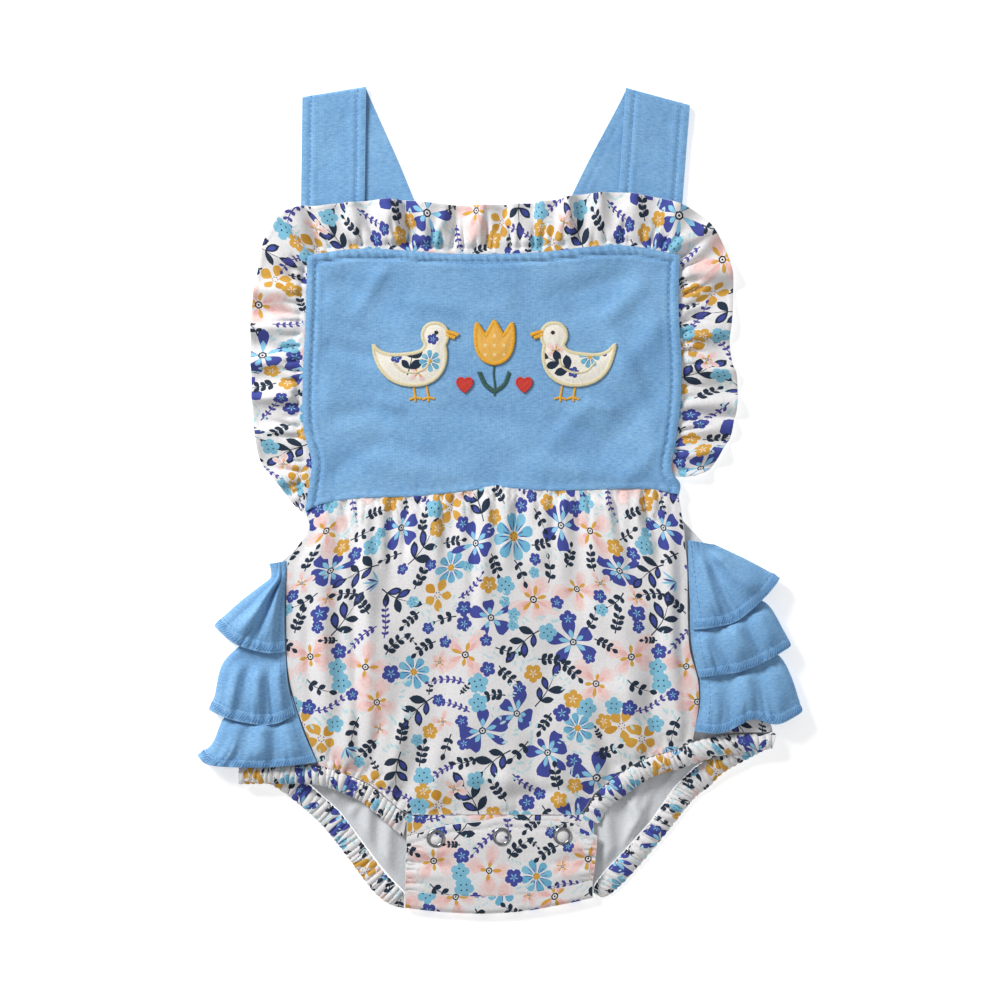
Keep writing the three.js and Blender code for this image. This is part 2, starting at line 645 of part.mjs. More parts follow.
// Applique: flat patches that lie on the bib
// Outlines are drawn round the middle of each motif.
function duckOutline(shape, size, facing) {
  const at = (x, y) => [x * size * facing, y * size];
  shape.moveTo(...at(-1, 0.42));
  shape.bezierCurveTo(...at(-0.8, 0.1), ...at(-0.45, 0.16), ...at(-0.1, 0.2));
  shape.bezierCurveTo(...at(0.12, 0.22), ...at(0.26, 0.3), ...at(0.28, 0.44));
  shape.bezierCurveTo(...at(0.12, 0.62), ...at(0.2, 0.95), ...at(0.5, 0.95));
  shape.bezierCurveTo(...at(0.8, 0.95), ...at(0.88, 0.62), ...at(0.72, 0.42));
  shape.bezierCurveTo(...at(0.84, 0.05), ...at(0.7, -0.5), ...at(0.1, -0.56));
  shape.bezierCurveTo(...at(-0.6, -0.62), ...at(-0.95, -0.2), ...at(-1, 0.42));
}

function tulipOutline(shape, size) {
  const at = (x, y) => [x * size, y * size];
  shape.moveTo(...at(0, -0.9));
  shape.bezierCurveTo(...at(0.75, -0.85), ...at(0.95, -0.1), ...at(0.8, 0.9));
  shape.lineTo(...at(0.4, 0.3));
  shape.lineTo(...at(0, 1));
  shape.lineTo(...at(-0.4, 0.3));
  shape.lineTo(...at(-0.8, 0.9));
  shape.bezierCurveTo(...at(-0.95, -0.1), ...at(-0.75, -0.85), ...at(0, -0.9));
}

function heartOutline(shape, size) {
  const at = (x, y) => [x * size, y * size];
  shape.moveTo(...at(0, -1));
  shape.bezierCurveTo(...at(0.55, -0.55), ...at(1.05, -0.1), ...at(0.95, 0.4));
  shape.bezierCurveTo(...at(0.8, 0.95), ...at(0.2, 0.95), ...at(0, 0.4));
  shape.bezierCurveTo(...at(-0.2, 0.95), ...at(-0.8, 0.95), ...at(-0.95, 0.4));
  shape.bezierCurveTo(...at(-1.05, -0.1), ...at(-0.55, -0.55), ...at(0, -1));
}

// name, outline, finish, middle x, middle y, size, facing
const PATCHES = [
  ["duck_left", duckOutline, CREAM, -46, 74, 22, 1],
  ["duck_right", duckOutline, CREAM, 40, 74, 22, -1],
  ["tulip", tulipOutline, GOLD, -3, 84, 12, 1],
  ["heart_left", heartOutline, RED, -19, 62, 4.2, 1],
  ["heart_right", heartOutline, RED, 13, 62, 4.2, 1],
];

function patch([name, outline, look, x, y, size, facing]) {
  const shape = new THREE.Shape();
  outline(shape, size, facing);
  const solid = new THREE.ExtrudeGeometry(shape, { depth: PATCH, bevelEnabled: false, curveSegments: 9 });
  const mesh = piece(name, solid, look);
  mesh.position.set(x, y, BIB_MIDDLE + CLOTH / 2 + GAP);
  return mesh;
}

const romper = new THREE.Group();
romper.add(bib(), bibRuffle(), strap("strap_left"), strap("strap_right"));
romper.add(frontPanel(), backPanel(), legBand("leg_band_left"), legBand("leg_band_right"));
romper.add(...Object.keys(TIERS).map(tier));
romper.add(crotchFlap(), placket());
romper.add(...SNAP_PLACES.map(([x, y], i) => snap(`snap_${i + 1}`, x, y)));
romper.add(...PATCHES.map(patch));
romper.position.set(SHIFT.x, SHIFT.y, 0);

export default romper;
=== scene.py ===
# %% [markdown]
# # A baby's romper, laid flat
# The garment lies face up on a table. It has a blue jersey bib and straps, a floral body and bib ruffle,
# elastic leg bands, and three gathered blue tiers that cross the seat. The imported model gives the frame:
# its boxes, its one body and its record. Every cloth piece below is cut flat, like real cloth, and then
# laid on the form of its solid, so that the print and the creases follow the cloth.

# %% Load the frame
import math
import random

import bpy
import numpy as np
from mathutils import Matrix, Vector
from mathutils.geometry import delaunay_2d_cdt


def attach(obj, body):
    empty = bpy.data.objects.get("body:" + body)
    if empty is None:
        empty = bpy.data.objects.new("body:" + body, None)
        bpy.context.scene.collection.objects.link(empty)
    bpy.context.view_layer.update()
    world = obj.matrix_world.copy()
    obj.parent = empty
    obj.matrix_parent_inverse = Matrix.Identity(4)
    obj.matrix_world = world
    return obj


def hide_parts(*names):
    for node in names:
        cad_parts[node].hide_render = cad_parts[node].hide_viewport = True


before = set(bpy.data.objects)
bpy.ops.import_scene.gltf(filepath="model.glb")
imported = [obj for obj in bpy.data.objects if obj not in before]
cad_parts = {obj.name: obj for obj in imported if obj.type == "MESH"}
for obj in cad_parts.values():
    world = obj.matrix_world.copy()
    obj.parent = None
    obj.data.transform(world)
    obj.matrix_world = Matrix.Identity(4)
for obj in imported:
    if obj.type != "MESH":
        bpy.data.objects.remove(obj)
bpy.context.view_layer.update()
print("pieces in the frame:", len(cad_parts))

# %% [markdown]
# The sizes come first. They are in millimetres, as a pattern cutter writes them, and are turned into metres
# only when a mesh is made. A garment that is laid flat is a stack of layers. `level(n)` is the middle of the
# cloth that has n layers under it, and the same rule as in the solids keeps each piece on its own layer.

# %% Sizes that all pieces share
MM = 0.001
CLOTH = 1.2  # thickness of one layer of the stack
LAYER = 1.5  # from one layer to the next
SHELL = 0.8  # the cloth itself, drawn thinner than its layer so that edges stay crisp
SHIFT = (-0.08, 0.35)  # brings the middle of the garment's box over the origin
SEAM = 0.35  # the gap between two pieces that meet
UNDERLAP = 2.4  # a seam allowance that runs under its neighbour


def level(count):
    return CLOTH / 2 + count * LAYER


print("layers at", [round(level(n), 1) for n in range(6)], "mm")

# %% [markdown]
# The photograph was taken from straight above, so the camera looks straight down. A long lens far away keeps
# the layers from leaning outwards. The picture is 1000 pixels wide and shows 540 mm of the table.

# %% Camera
PICTURE_WIDTH = 0.54
CAMERA_HEIGHT = 1.5
FILM = 36.0
HALF_PIXEL = 0.27  # in mm: the middle of the picture lies between two of its pixels

lens = bpy.data.cameras.new("above")
lens.sensor_width = FILM
lens.lens = FILM * CAMERA_HEIGHT / PICTURE_WIDTH
camera = bpy.data.objects.new("camera_above", lens)
camera.location = (SHIFT[0] * MM, (SHIFT[1] - HALF_PIXEL) * MM, CAMERA_HEIGHT)
bpy.context.collection.objects.link(camera)
bpy.context.scene.camera = camera
print("lens", round(lens.lens), "mm")

# %% [markdown]
# Folds in cloth show only when light comes from one side. A broad soft light from the upper left draws them,
# a weaker one fills from the right, and a pale world keeps the shadows open. The floor is a plain white
# sweep. The Standard view keeps the dye colours as they are mixed here.

# %% Floor and lights
scene = bpy.context.scene
scene.view_settings.view_transform = "Standard"


def add_light(name, place, size, watts):
    lamp = bpy.data.lights.new(name, "AREA")
    lamp.shape = "DISK"
    lamp.size = size
    lamp.energy = watts
    lamp_object = bpy.data.objects.new(name, lamp)
    lamp_object.location = place
    lamp_object.rotation_euler = Vector(place).to_track_quat("Z", "Y").to_euler()
    bpy.context.collection.objects.link(lamp_object)


KEY_WATTS = 27
FILL_WATTS = 4
WORLD_STRENGTH = 0.34
add_light("soft_key", (-1.0, 0.98, 0.86), 0.6, KEY_WATTS)
add_light("soft_fill", (1.3, -0.7, 1.2), 1.2, FILL_WATTS)
world = bpy.data.worlds.new("studio")
world.use_nodes = True
world.node_tree.nodes["Background"].inputs["Color"].default_value = (1, 1, 1, 1)
world.node_tree.nodes["Background"].inputs["Strength"].default_value = WORLD_STRENGTH
scene.world = world

FLOOR_SIDE = 6.0
FLOOR_DROP = 0.0002  # keeps the floor clear of the lowest cloth
FLOOR_GLOW = 0.5  # lifts the shadow under the hems, as the bright table in a studio does
half = FLOOR_SIDE / 2
floor_mesh = bpy.data.meshes.new("floor")
corners = [(-half, -half, 0), (half, -half, 0), (half, half, 0), (-half, half, 0)]
floor_mesh.from_pydata(corners, [], [(0, 1, 2, 3)])
floor = bpy.data.objects.new("floor", floor_mesh)
bpy.context.collection.objects.link(floor)
floor.location.z = -FLOOR_DROP
paper = bpy.data.materials.new("white_paper")
paper.use_nodes = True
paper_shader = paper.node_tree.nodes["Principled BSDF"]
paper_shader.inputs["Base Color"].default_value = (0.93, 0.93, 0.93, 1)
paper_shader.inputs["Roughness"].default_value = 1.0
paper_shader.inputs["Emission Color"].default_value = (1, 1, 1, 1)
paper_shader.inputs["Emission Strength"].default_value = FLOOR_GLOW
floor_mesh.materials.append(paper)
print("two soft lights and a white floor")

# %% [markdown]
# Pattern curves are drawn through a few points. `through` is a smooth curve through rows of numbers, and
# `paced` walks the same curve at an even speed, as a tape measure does. Everything works on whole arrays of
# points at once, because a piece of cloth has tens of thousands of them.

# %% Curves
TAPE_STEPS = 240
TURN = 2 * math.pi  # a whole turn


def lerp(a, b, t):
    return a + (b - a) * t


def ease(low, high, x):
    t = np.clip((np.asarray(x, float) - low) / (high - low), 0, 1)
    return t * t * (3 - 2 * t)


def through(rows):
    rows = np.array(rows, float)
    last = len(rows) - 1

    def curve(t):
        place = np.clip(np.asarray(t, float), 0, 1) * last
        i = np.minimum(place.astype(int), last - 1)
        f = (place - i)[..., None]
        a, b, c, d = (rows[np.clip(i + k, 0, last)] for k in (-1, 0, 1, 2))
        slope = (c - a) / 2
        next_slope = (d - b) / 2
        rise = c - b
        bend = 3 * rise - 2 * slope - next_slope
        return b + f * (slope + f * (bend + f * (slope + next_slope - 2 * rise)))

    return curve


def paced(rows, middle=lambda points: points[:, :2]):
    curve = through(rows)
    steps = np.linspace(0, 1, TAPE_STEPS + 1)
    walk = np.linalg.norm(np.diff(middle(curve(steps)), axis=0), axis=1)
    walked = np.concatenate([[0], np.cumsum(walk)])

    def even(t):
        return curve(np.interp(np.clip(t, 0, 1) * walked[-1], walked, steps))

    even.length = walked[-1]
    return even


def strip_middle(points):
    return (points[:, :2] + points[:, 2:4]) / 2


def line_along(curve, spacing, start=0.0, end=1.0):
    count = max(2, round(curve.length * (end - start) / spacing))
    return curve(np.linspace(start, end, count + 1))[:, :2]


# %% [markdown]
# `to_edge` measures how far each point is from an edge, and where along the edge its nearest point is. With
# it a hem can be a little thicker, a row of stitches can lie in a groove, and gathers can fade with distance.
# `fold_height` adds up soft ridges (a rise above 0) and troughs (below 0) from a short table. Each row has
# the start and end of a fold, its rise and its half width.

# %% Distances and folds
def to_edge(x, y, line):
    start = line[:-1]
    step = np.diff(line, axis=0)
    length = np.linalg.norm(step, axis=1)
    along = np.concatenate([[0], np.cumsum(length)[:-1]])
    best = np.full(len(x), 1e9)
    where = np.zeros(len(x))
    for (x0, y0), (dx, dy), size, walked in zip(start, step, length, along):
        t = np.clip(((x - x0) * dx + (y - y0) * dy) / size**2, 0, 1)
        gap = np.hypot(x - x0 - t * dx, y - y0 - t * dy)
        nearer = gap < best
        best[nearer] = gap[nearer]
        where[nearer] = (walked + t * size)[nearer]
    return best, where


def fold_height(folds, x, y):
    height = np.zeros(len(x))
    for x0, y0, x1, y1, rise, width in folds:
        length = math.hypot(x1 - x0, y1 - y0)
        along = ((x - x0) * (x1 - x0) + (y - y0) * (y1 - y0)) / length
        across = ((x - x0) * (y1 - y0) - (y - y0) * (x1 - x0)) / length
        ends = ease(-0.15 * length, 0.15 * length, along) * (1 - ease(0.6 * length, 1.1 * length, along))
        height += rise * ends * np.exp(-((across / width) ** 2))
    return height


def gather(s, count, seed):
    wander = 0.3 * np.sin(TURN * 3 * s + seed) + 0.2 * np.sin(TURN * 5 * s + 2 * seed)
    return np.sin(TURN * (count * s + wander))


def puckers(along, away, length, count, reach, depth, seed):
    """Short pinched creases that start at a gathered seam: `along` it, and `away` from it, in mm."""
    picks = random.Random(seed)
    height = np.zeros(len(along))
    pitch = length / count
    for k in range(count):
        middle = (k + 0.5 + picks.uniform(-0.35, 0.35)) * pitch
        far = reach * picks.uniform(0.35, 1.0)
        slant = picks.uniform(-0.22, 0.22)
        deep = depth * picks.uniform(0.4, 1.0)
        width = pitch * picks.uniform(0.16, 0.3) + 0.035 * away
        across = (along - middle - slant * away) / width
        height -= deep * np.exp(-(across**2)) * (1 - ease(0.2 * far, far, away))
    return height


print("curves and folds are ready")

# %% [markdown]
# Real cloth starts as a flat cut piece. Here, too, each piece is first a flat outline, filled with points
# about as far apart as the finest crease needs. A constrained triangulation joins them. It can take closed
# motifs as well and keeps their edges exact, so a printed flower has a clean edge at any zoom with no image:
# every triangle knows which motif it belongs to. The other way, a pattern in shader nodes, would be lighter,
# but it can't draw leaves and petals this freely.

# %% Cutting a flat piece
def inside(points, outline):
    x, y = points[:, 0], points[:, 1]
    found = np.zeros(len(points), bool)
    for (x0, y0), (x1, y1) in zip(outline, np.roll(outline, -1, axis=0)):
        if y0 == y1:
            continue
        crosses = (y0 > y) != (y1 > y)
        found ^= crosses & (x < x0 + (y - y0) * (x1 - x0) / (y1 - y0))
    return found


def filling(outline, step_x, step_y):
    low = outline.min(axis=0)
    high = outline.max(axis=0)
    rows = np.arange(low[1] + step_y / 2, high[1], step_y)
    columns = np.arange(low[0] + step_x / 2, high[0], step_x)
    grid_x, grid_y = np.meshgrid(columns, rows)
    grid_x = grid_x + (np.arange(len(rows))[:, None] % 2 - 0.5) * step_x / 2
    points = np.stack([grid_x.ravel(), grid_y.ravel()], -1)
    points = points[inside(points, outline)]
    edge = to_edge(points[:, 0], points[:, 1], np.vstack([outline, outline[:1]]))[0]
    return points[edge > 0.35 * min(step_x, step_y)]


def shoelace(outline):
    """The area inside a closed outline, below 0 where it runs clockwise."""
    x, y = outline[:, 0], outline[:, 1]
    return float(np.dot(x, np.roll(y, -1)) - np.dot(y, np.roll(x, -1))) / 2


def anticlockwise(outline):
    return outline if shoelace(outline) > 0 else outline[::-1]


def triangulate(outline, step_x, step_y, motifs=()):
    outline = anticlockwise(outline)
    points = [Vector(p) for p in outline]
    faces = [list(range(len(points)))]
    low = outline.min(axis=0)
    high = outline.max(axis=0)
    for shape, _ in motifs:
        if (shape.max(axis=0) < low).any() or (shape.min(axis=0) > high).any():
            faces.append([])
            continue
        faces.append(list(range(len(points), len(points) + len(shape))))
        points.extend(Vector(p) for p in anticlockwise(shape))
    points.extend(Vector(p) for p in filling(outline, step_x, step_y))
    numbers = [n for n, face in enumerate(faces) if face]
    drawn = [face for face in faces if face]
    flat, _, triangles, _, _, owners = delaunay_2d_cdt(points, [], drawn, 1, 1e-4, True)
    kept = [(t, numbers[max(own)]) for t, own in zip(triangles, owners) if own and min(own) == 0]
    flat = np.array(flat)
    triangles = np.array([t for t, _ in kept])
    owner = np.array([n for _, n in kept]) - 1
    used, renumbered = np.unique(triangles, return_inverse=True)
    flat = flat[used]
    triangles = renumbered.reshape(-1, 3)
    whole = (triangles != np.roll(triangles, 1, axis=1)).all(axis=1)
    triangles, owner = triangles[whole], owner[whole]
    a, b, c = (flat[triangles[:, k]] for k in range(3))
    turned = (b[:, 0] - a[:, 0]) * (c[:, 1] - a[:, 1]) - (b[:, 1] - a[:, 1]) * (c[:, 0] - a[:, 0]) < 0
    triangles[turned] = triangles[turned][:, ::-1]
    return flat, triangles, owner


def border(triangles):
    """The points round the edge of a triangulation, in order."""
    sides = np.concatenate([triangles[:, [0, 1]], triangles[:, [1, 2]], triangles[:, [2, 0]]])
    lone = {(int(i), int(j)) for i, j in sides}
    following = {i: j for i, j in lone if (j, i) not in lone}
    first = next(iter(following))
    loop = [first]
    while following[loop[-1]] != first:
        loop.append(following[loop[-1]])
    return np.array(loop)


# %% [markdown]
# A cut piece becomes cloth in `sew`. Its `place` function says where each flat point lies on the garment.
# The cloth gets an upper and a lower sheet and a rounded edge between them, so it is a closed shell.
# The normals come from the place function itself, which keeps soft folds smooth however the triangles lie.
# The flat position is kept on each point as the attribute `cut`, for the knit and the weave.

# %% Laying a flat piece on the garment
NUDGE = 0.08  # mm between the two points that give a slope
RIM = 0.35  # how far the edge of the cloth bulges, as a share of its thickness
TABLE_GAP = 0.02  # nothing of the cloth lies lower than this
CUT_DIGITS = 3


def linear(hex_colour):
    values = [int(hex_colour[k : k + 2], 16) / 255 for k in (1, 3, 5)]
    return [v / 12.92 if v <= 0.04045 else ((v + 0.055) / 1.055) ** 2.4 for v in values] + [1.0]


def lay(place, flat):
    """Points of the cloth's middle, and their normals."""
    a, b = flat[:, 0], flat[:, 1]
    towards = [np.where(v > (v.min() + v.max()) / 2, -NUDGE, NUDGE) for v in (a, b)]
    middle = place(a, b)
    along_a = (place(a + towards[0], b) - middle) / towards[0][:, None]
    along_b = (place(a, b + towards[1]) - middle) / towards[1][:, None]
    normal = np.cross(along_a, along_b)
    return middle, normal / np.linalg.norm(normal, axis=1)[:, None]


def new_object(name, points, faces, material):
    mesh = bpy.data.meshes.new(name)
    moved = (np.asarray(points) + (SHIFT[0], SHIFT[1], 0)) * MM
    mesh.from_pydata(moved.tolist(), [], np.asarray(faces).tolist())
    mesh.materials.append(material)
    mesh.shade_smooth()
    piece = bpy.data.objects.new(name, mesh)
    bpy.context.collection.objects.link(piece)
    return piece


def sew(name, outline, place, steps, material, motifs=(), upper=None, lower=None, under_steps=None):
    """Cuts a piece and lays it on the garment.

    For a printed piece, `upper` and `lower` each hold a ground colour and whether motifs show on that side.
    `under_steps` gives the lower side, which is hardly seen, coarser steps of its own."""
    flat, triangles, owner = triangulate(outline, *steps, motifs)
    loop = border(triangles)
    if under_steps:
        under_flat, under_triangles, _ = triangulate(flat[loop], *under_steps)
        under_owner = np.full(len(under_triangles), -1)
        spots = {tuple(np.round(p, CUT_DIGITS)): k for k, p in enumerate(under_flat)}
        under_loop = np.array([spots[tuple(np.round(p, CUT_DIGITS))] for p in flat[loop]])
    else:
        under_flat, under_triangles, under_owner, under_loop = flat, triangles, owner, loop
    middle, normal = lay(place, flat)
    under_middle, under_normal = lay(place, under_flat)
    top = middle + normal * SHELL / 2
    bottom = under_middle - under_normal * SHELL / 2
    tangent = np.roll(middle[loop], -1, axis=0) - np.roll(middle[loop], 1, axis=0)
    outward = np.cross(tangent, normal[loop])
    outward /= np.maximum(np.linalg.norm(outward, axis=1)[:, None], 1e-9)
    rim = middle[loop] + outward * SHELL * RIM
    n = len(top)
    ring = n + len(bottom) + np.arange(len(loop))
    bands = []
    for high, low in ((loop, ring), (ring, n + under_loop)):
        high_next, low_next = np.roll(high, -1), np.roll(low, -1)
        bands.append(np.stack([high, low, low_next], -1))
        bands.append(np.stack([high, low_next, high_next], -1))
    bands = np.concatenate(bands)
    bands = bands[(bands != np.roll(bands, 1, axis=1)).all(axis=1)]  # no face uses a point twice
    faces = np.concatenate([triangles, n + under_triangles[:, ::-1], bands])
    points = np.concatenate([top, bottom, rim])
    points[:, 2] = np.maximum(points[:, 2], TABLE_GAP)
    piece = new_object(name, points, faces, material)
    mesh = piece.data
    mesh.normals_split_custom_set_from_vertices(np.concatenate([normal, -under_normal, outward]).tolist())
    cut = np.concatenate([flat, under_flat, flat[loop]])
    cut = np.concatenate([cut, np.zeros((len(cut), 1))], axis=1) * MM
    mesh.attributes.new("cut", "FLOAT_VECTOR", "POINT").data.foreach_set("vector", cut.ravel())
    if upper:
        inks = np.array([linear(colour) for _, colour in motifs] or [[0, 0, 0, 1]])

        def painted(owners, side):
            ground, shows = side
            colours = np.tile(linear(ground), (len(owners), 1))
            if shows and len(motifs):
                colours[owners >= 0] = inks[owners[owners >= 0]]
            return colours

        edge = np.tile(linear(upper[0]), (len(bands), 1))
        colours = np.concatenate([painted(owner, upper), painted(under_owner, lower), edge])
        ink = mesh.color_attributes.new("print", "FLOAT_COLOR", "CORNER")
        ink.data.foreach_set("color", np.repeat(colours, 3, axis=0).ravel())
    print(f"{name}: {len(faces)} triangles")
    return piece


def rectangle(width, height, step_x, step_y):
    across = np.linspace(0, width, max(2, round(width / step_x)) + 1)
    up = np.linspace(0, height, max(2, round(height / step_y)) + 1)
    bottom, right = (across, 0 * across), (0 * up + width, up)
    top, left = (across[::-1], 0 * across + height), (0 * up, up[::-1])
    return np.concatenate([np.stack(side, -1)[:-1] for side in (bottom, right, top, left)])


def stack_up(x, y, z):
    return np.stack([x, y, np.maximum(z, SHELL / 2 + 0.05)], -1)


print("cloth is", SHELL, "mm thick in the scene")

# %% [markdown]
# The blue cloth is a light single jersey of mixed fibres. Close up its colour runs in short streaks along
# the knitted rows, paler and darker than each other, over fine columns of stitches. Both are read from the
# flat `cut` position, so they bend with the cloth at folds. A soft sheen gives the nap.

# %% Blue jersey
WAVE_PERIOD = 3.18  # bands that the wave texture draws at a scale of 1
WHITE = (1, 1, 1, 1)


def feed(tree, made, inputs):
    """Gives each named input of a node its value, or the output that feeds it."""
    for name, value in inputs.items():
        if isinstance(value, bpy.types.NodeSocket):
            tree.links.new(value, made.inputs[name])
        else:
            made.inputs[name].default_value = value


def node(tree, kind, inputs=None, **settings):
    made = tree.nodes.new(kind)
    for name, value in settings.items():
        setattr(made, name, value)
    feed(tree, made, inputs or {})
    return made


def in_millimetres(tree, position, scale=(1, 1, 1)):
    inputs = {"Vector": position, "Scale": [s / MM for s in scale]}
    return node(tree, "ShaderNodeMapping", inputs).outputs["Vector"]


def cut_position(tree, scale):
    """The flat position on the cloth, in mm times `scale` for each direction."""
    cut = node(tree, "ShaderNodeAttribute", attribute_name="cut")
    return in_millimetres(tree, cut.outputs["Vector"], scale)


def noise(tree, vector, scale, detail=2.0, roughness=0.5):
    inputs = {"Vector": vector, "Scale": scale, "Detail": detail, "Roughness": roughness}
    return node(tree, "ShaderNodeTexNoise", inputs).outputs["Fac"]


def ramp(tree, factor, stops):
    made = node(tree, "ShaderNodeValToRGB", {"Fac": factor})
    while len(made.color_ramp.elements) < len(stops):
        made.color_ramp.elements.new(0.5)
    for element, (place, colour) in zip(made.color_ramp.elements, stops):
        element.position = place
        element.color = linear(colour)
    return made.outputs["Color"]


def multiply(tree, first, second):
    inputs = {"Factor": 1.0, "A": first, "B": second}
    return node(tree, "ShaderNodeMix", inputs, data_type="RGBA", blend_type="MULTIPLY").outputs["Result"]


def bump(tree, heights, strengths, distance):
    """Stacks bumps, the first one deepest."""
    below = {}
    for height, strength in zip(heights, strengths):
        inputs = {"Height": height, "Strength": strength, "Distance": distance}
        below = {"Normal": node(tree, "ShaderNodeBump", inputs | below).outputs["Normal"]}
    return below["Normal"]


def new_shader(name, inputs):
    material = bpy.data.materials.new(name)
    material.use_nodes = True
    shader = material.node_tree.nodes["Principled BSDF"]
    feed(material.node_tree, shader, inputs)
    return material, material.node_tree, shader


def cloth_shader(name, roughness, sheen, sheen_tint=WHITE):
    return new_shader(name, {"Roughness": roughness, "Specular IOR Level": 0.25, "Sheen Weight": sheen,
                             "Sheen Roughness": 0.5, "Sheen Tint": sheen_tint})


def knit(tree, pitch):
    """Columns of knit stitches, as a small wave across the cloth broken up along it."""
    inputs = {"Scale": 1 / pitch / WAVE_PERIOD, "Distortion": 2.5, "Detail": 2, "Detail Scale": 1.6,
              "Vector": cut_position(tree, (1, 1, 1))}
    return node(tree, "ShaderNodeTexWave", inputs, wave_type="BANDS", bands_direction="X").outputs["Fac"]


BLUE_PALE, BLUE_MIDDLE, BLUE_DEEP = "#9DC8EA", "#8BBBE3", "#78ABDA"


def jersey(name, pale, middle, deep):
    material, tree, shader = cloth_shader(name, 0.88, 0.12, (0.75, 0.87, 1, 1))
    streaks = noise(tree, cut_position(tree, (0.35, 1.3, 1)), 1.0, 3, 0.6)
    colour = ramp(tree, streaks, [(0.32, deep), (0.5, middle), (0.68, pale)])
    flecks = noise(tree, cut_position(tree, (0.9, 3.2, 1)), 1.0, 1)
    clouds = noise(tree, cut_position(tree, (0.03, 0.045, 1)), 1.0, 2)
    for spots, shade in ((flecks, "#E8EEF4"), (clouds, "#E0E9F2")):
        colour = multiply(tree, colour, ramp(tree, spots, [(0.3, shade), (0.7, "#FFFFFF")]))
    rumple = noise(tree, cut_position(tree, (0.1, 0.12, 1)), 1.0, 3)
    normal = bump(tree, [rumple, streaks, knit(tree, 0.8)], [0.6, 0.16, 0.12], 0.0012)
    feed(tree, shader, {"Base Color": colour, "Normal": normal})
    return material


blue_jersey = jersey("blue_jersey", BLUE_PALE, BLUE_MIDDLE, BLUE_DEEP)
print("blue jersey mixed from", BLUE_PALE, BLUE_MIDDLE, BLUE_DEEP)

# %% [markdown]
# The body is a smooth printed knit. Its ink is on the cloth's own corners, as the `print` attribute, and the
# material only adds what ink and cloth do: slightly uneven ink, a fine knit and small soft rumples.

# %% Floral cloth and plain patches
def printed_cloth(name, roughness, sheen, unevenness):
    material, tree, shader = cloth_shader(name, roughness, sheen)
    ink = node(tree, "ShaderNodeAttribute", attribute_name="print").outputs["Color"]
    soak = noise(tree, cut_position(tree, (0.8, 0.8, 1)), 1.0, 3)
    colour = multiply(tree, ink, ramp(tree, soak, [(0.3, unevenness), (0.65, "#FFFFFF")]))
    rumple = noise(tree, cut_position(tree, (0.09, 0.06, 1)), 1.0, 3)
    normal = bump(tree, [rumple, knit(tree, 0.7)], [0.4, 0.06], 0.0012)
    feed(tree, shader, {"Base Color": colour, "Normal": normal})
    return material


floral_print = printed_cloth("floral_print", 0.8, 0.12, "#F2F2F4")
patch_cloth = printed_cloth("patch_cloth", 0.85, 0.15, "#EFEDE8")


def object_noise(tree, scale, detail):
    position = node(tree, "ShaderNodeTexCoord").outputs["Object"]
    return noise(tree, in_millimetres(tree, position), scale, detail)


def thread(name, light, dark, roughness, twist):
    """Sewing thread: plies that turn round it show as fine slanted bands."""
    material, tree, shader = cloth_shader(name, roughness, 0.3)
    plies = object_noise(tree, twist, 1)
    colour = ramp(tree, plies, [(0.35, dark), (0.65, light)])
    feed(tree, shader, {"Base Color": colour, "Normal": bump(tree, [plies], [0.3], 0.0004)})
    return material


blue_thread = thread("blue_thread", "#6A9FD6", "#4F86C2", 0.7, 2.5)
edge_thread = thread("edge_thread", "#79AEDF", "#5C95CE", 0.7, 2.5)
white_thread = thread("white_thread", "#F1F0EF", "#DCDBDC", 0.7, 2.5)
cream_satin = thread("cream_satin", "#EDE3C0", "#DCCFA4", 0.45, 2.0)
gold_satin = thread("gold_satin", "#F3BE35", "#E09A1E", 0.42, 2.0)
red_satin = thread("red_satin", "#DC3A33", "#BE2A26", 0.45, 2.0)
green_satin = thread("green_satin", "#3F6B63", "#2C4F49", 0.45, 2.0)
dark_satin = thread("dark_satin", "#24262E", "#15161B", 0.4, 2.0)


def polished(name, dark, light):
    material, tree, shader = new_shader(name, {"Metallic": 1.0, "Roughness": 0.22})
    tumbled = object_noise(tree, 0.9, 3)
    colour = ramp(tree, tumbled, [(0.3, dark), (0.7, light)])
    feed(tree, shader, {"Base Color": colour, "Normal": bump(tree, [tumbled], [0.08], 0.0004)})
    return material


snap_metal = polished("snap_metal", "#85888E", "#B4B7BC")
print("threads, patches and snap metal are ready")

# %% [markdown]
# The print is a scatter of garden flowers on white: large royal blue blooms, aqua daisies, pale pink and
# mustard flowers, navy sprigs, violet vines and small blossoms. Every motif is a short function that
# returns closed shapes and their ink, bottom first, drawn round its own middle in millimetres.

# %% Shapes of the print
ROYAL, VIOLET, NAVY, NIGHT = "#434C9C", "#4B4896", "#1F3044", "#171E2B"
AQUA, SKY, PALE_AQUA, THROAT = "#6FB4D2", "#83C1DA", "#BFE2E6", "#8CCBE8"
MUSTARD, AMBER = "#D9A545", "#CE9633"
PINK_RIM, PINK, ROSE = "#F1DDDA", "#F3D0CB", "#F0BDB8"
GROUND, REVERSE = "#ECEAEA", "#DEE1E4"


def placed(shape, x=0.0, y=0.0, turn=0.0, size=1.0):
    c, s = math.cos(turn) * size, math.sin(turn) * size
    return np.stack([x + shape[:, 0] * c - shape[:, 1] * s, y + shape[:, 0] * s + shape[:, 1] * c], -1)


def petal(length, width, fullness=1.4, notch=0.0, base=0.0, points=6):
    """A petal along +X. A fullness above 1 is widest near its tip; a notch cuts into the tip."""
    s = np.linspace(0, 1, points + 1)
    half = width / 2 * np.sin(np.pi * s**fullness) ** 0.75
    x = base + (length - base) * s
    x[-1] -= notch * length
    return np.concatenate([np.stack([x, half], -1), np.stack([x, -half], -1)[-2:0:-1]])


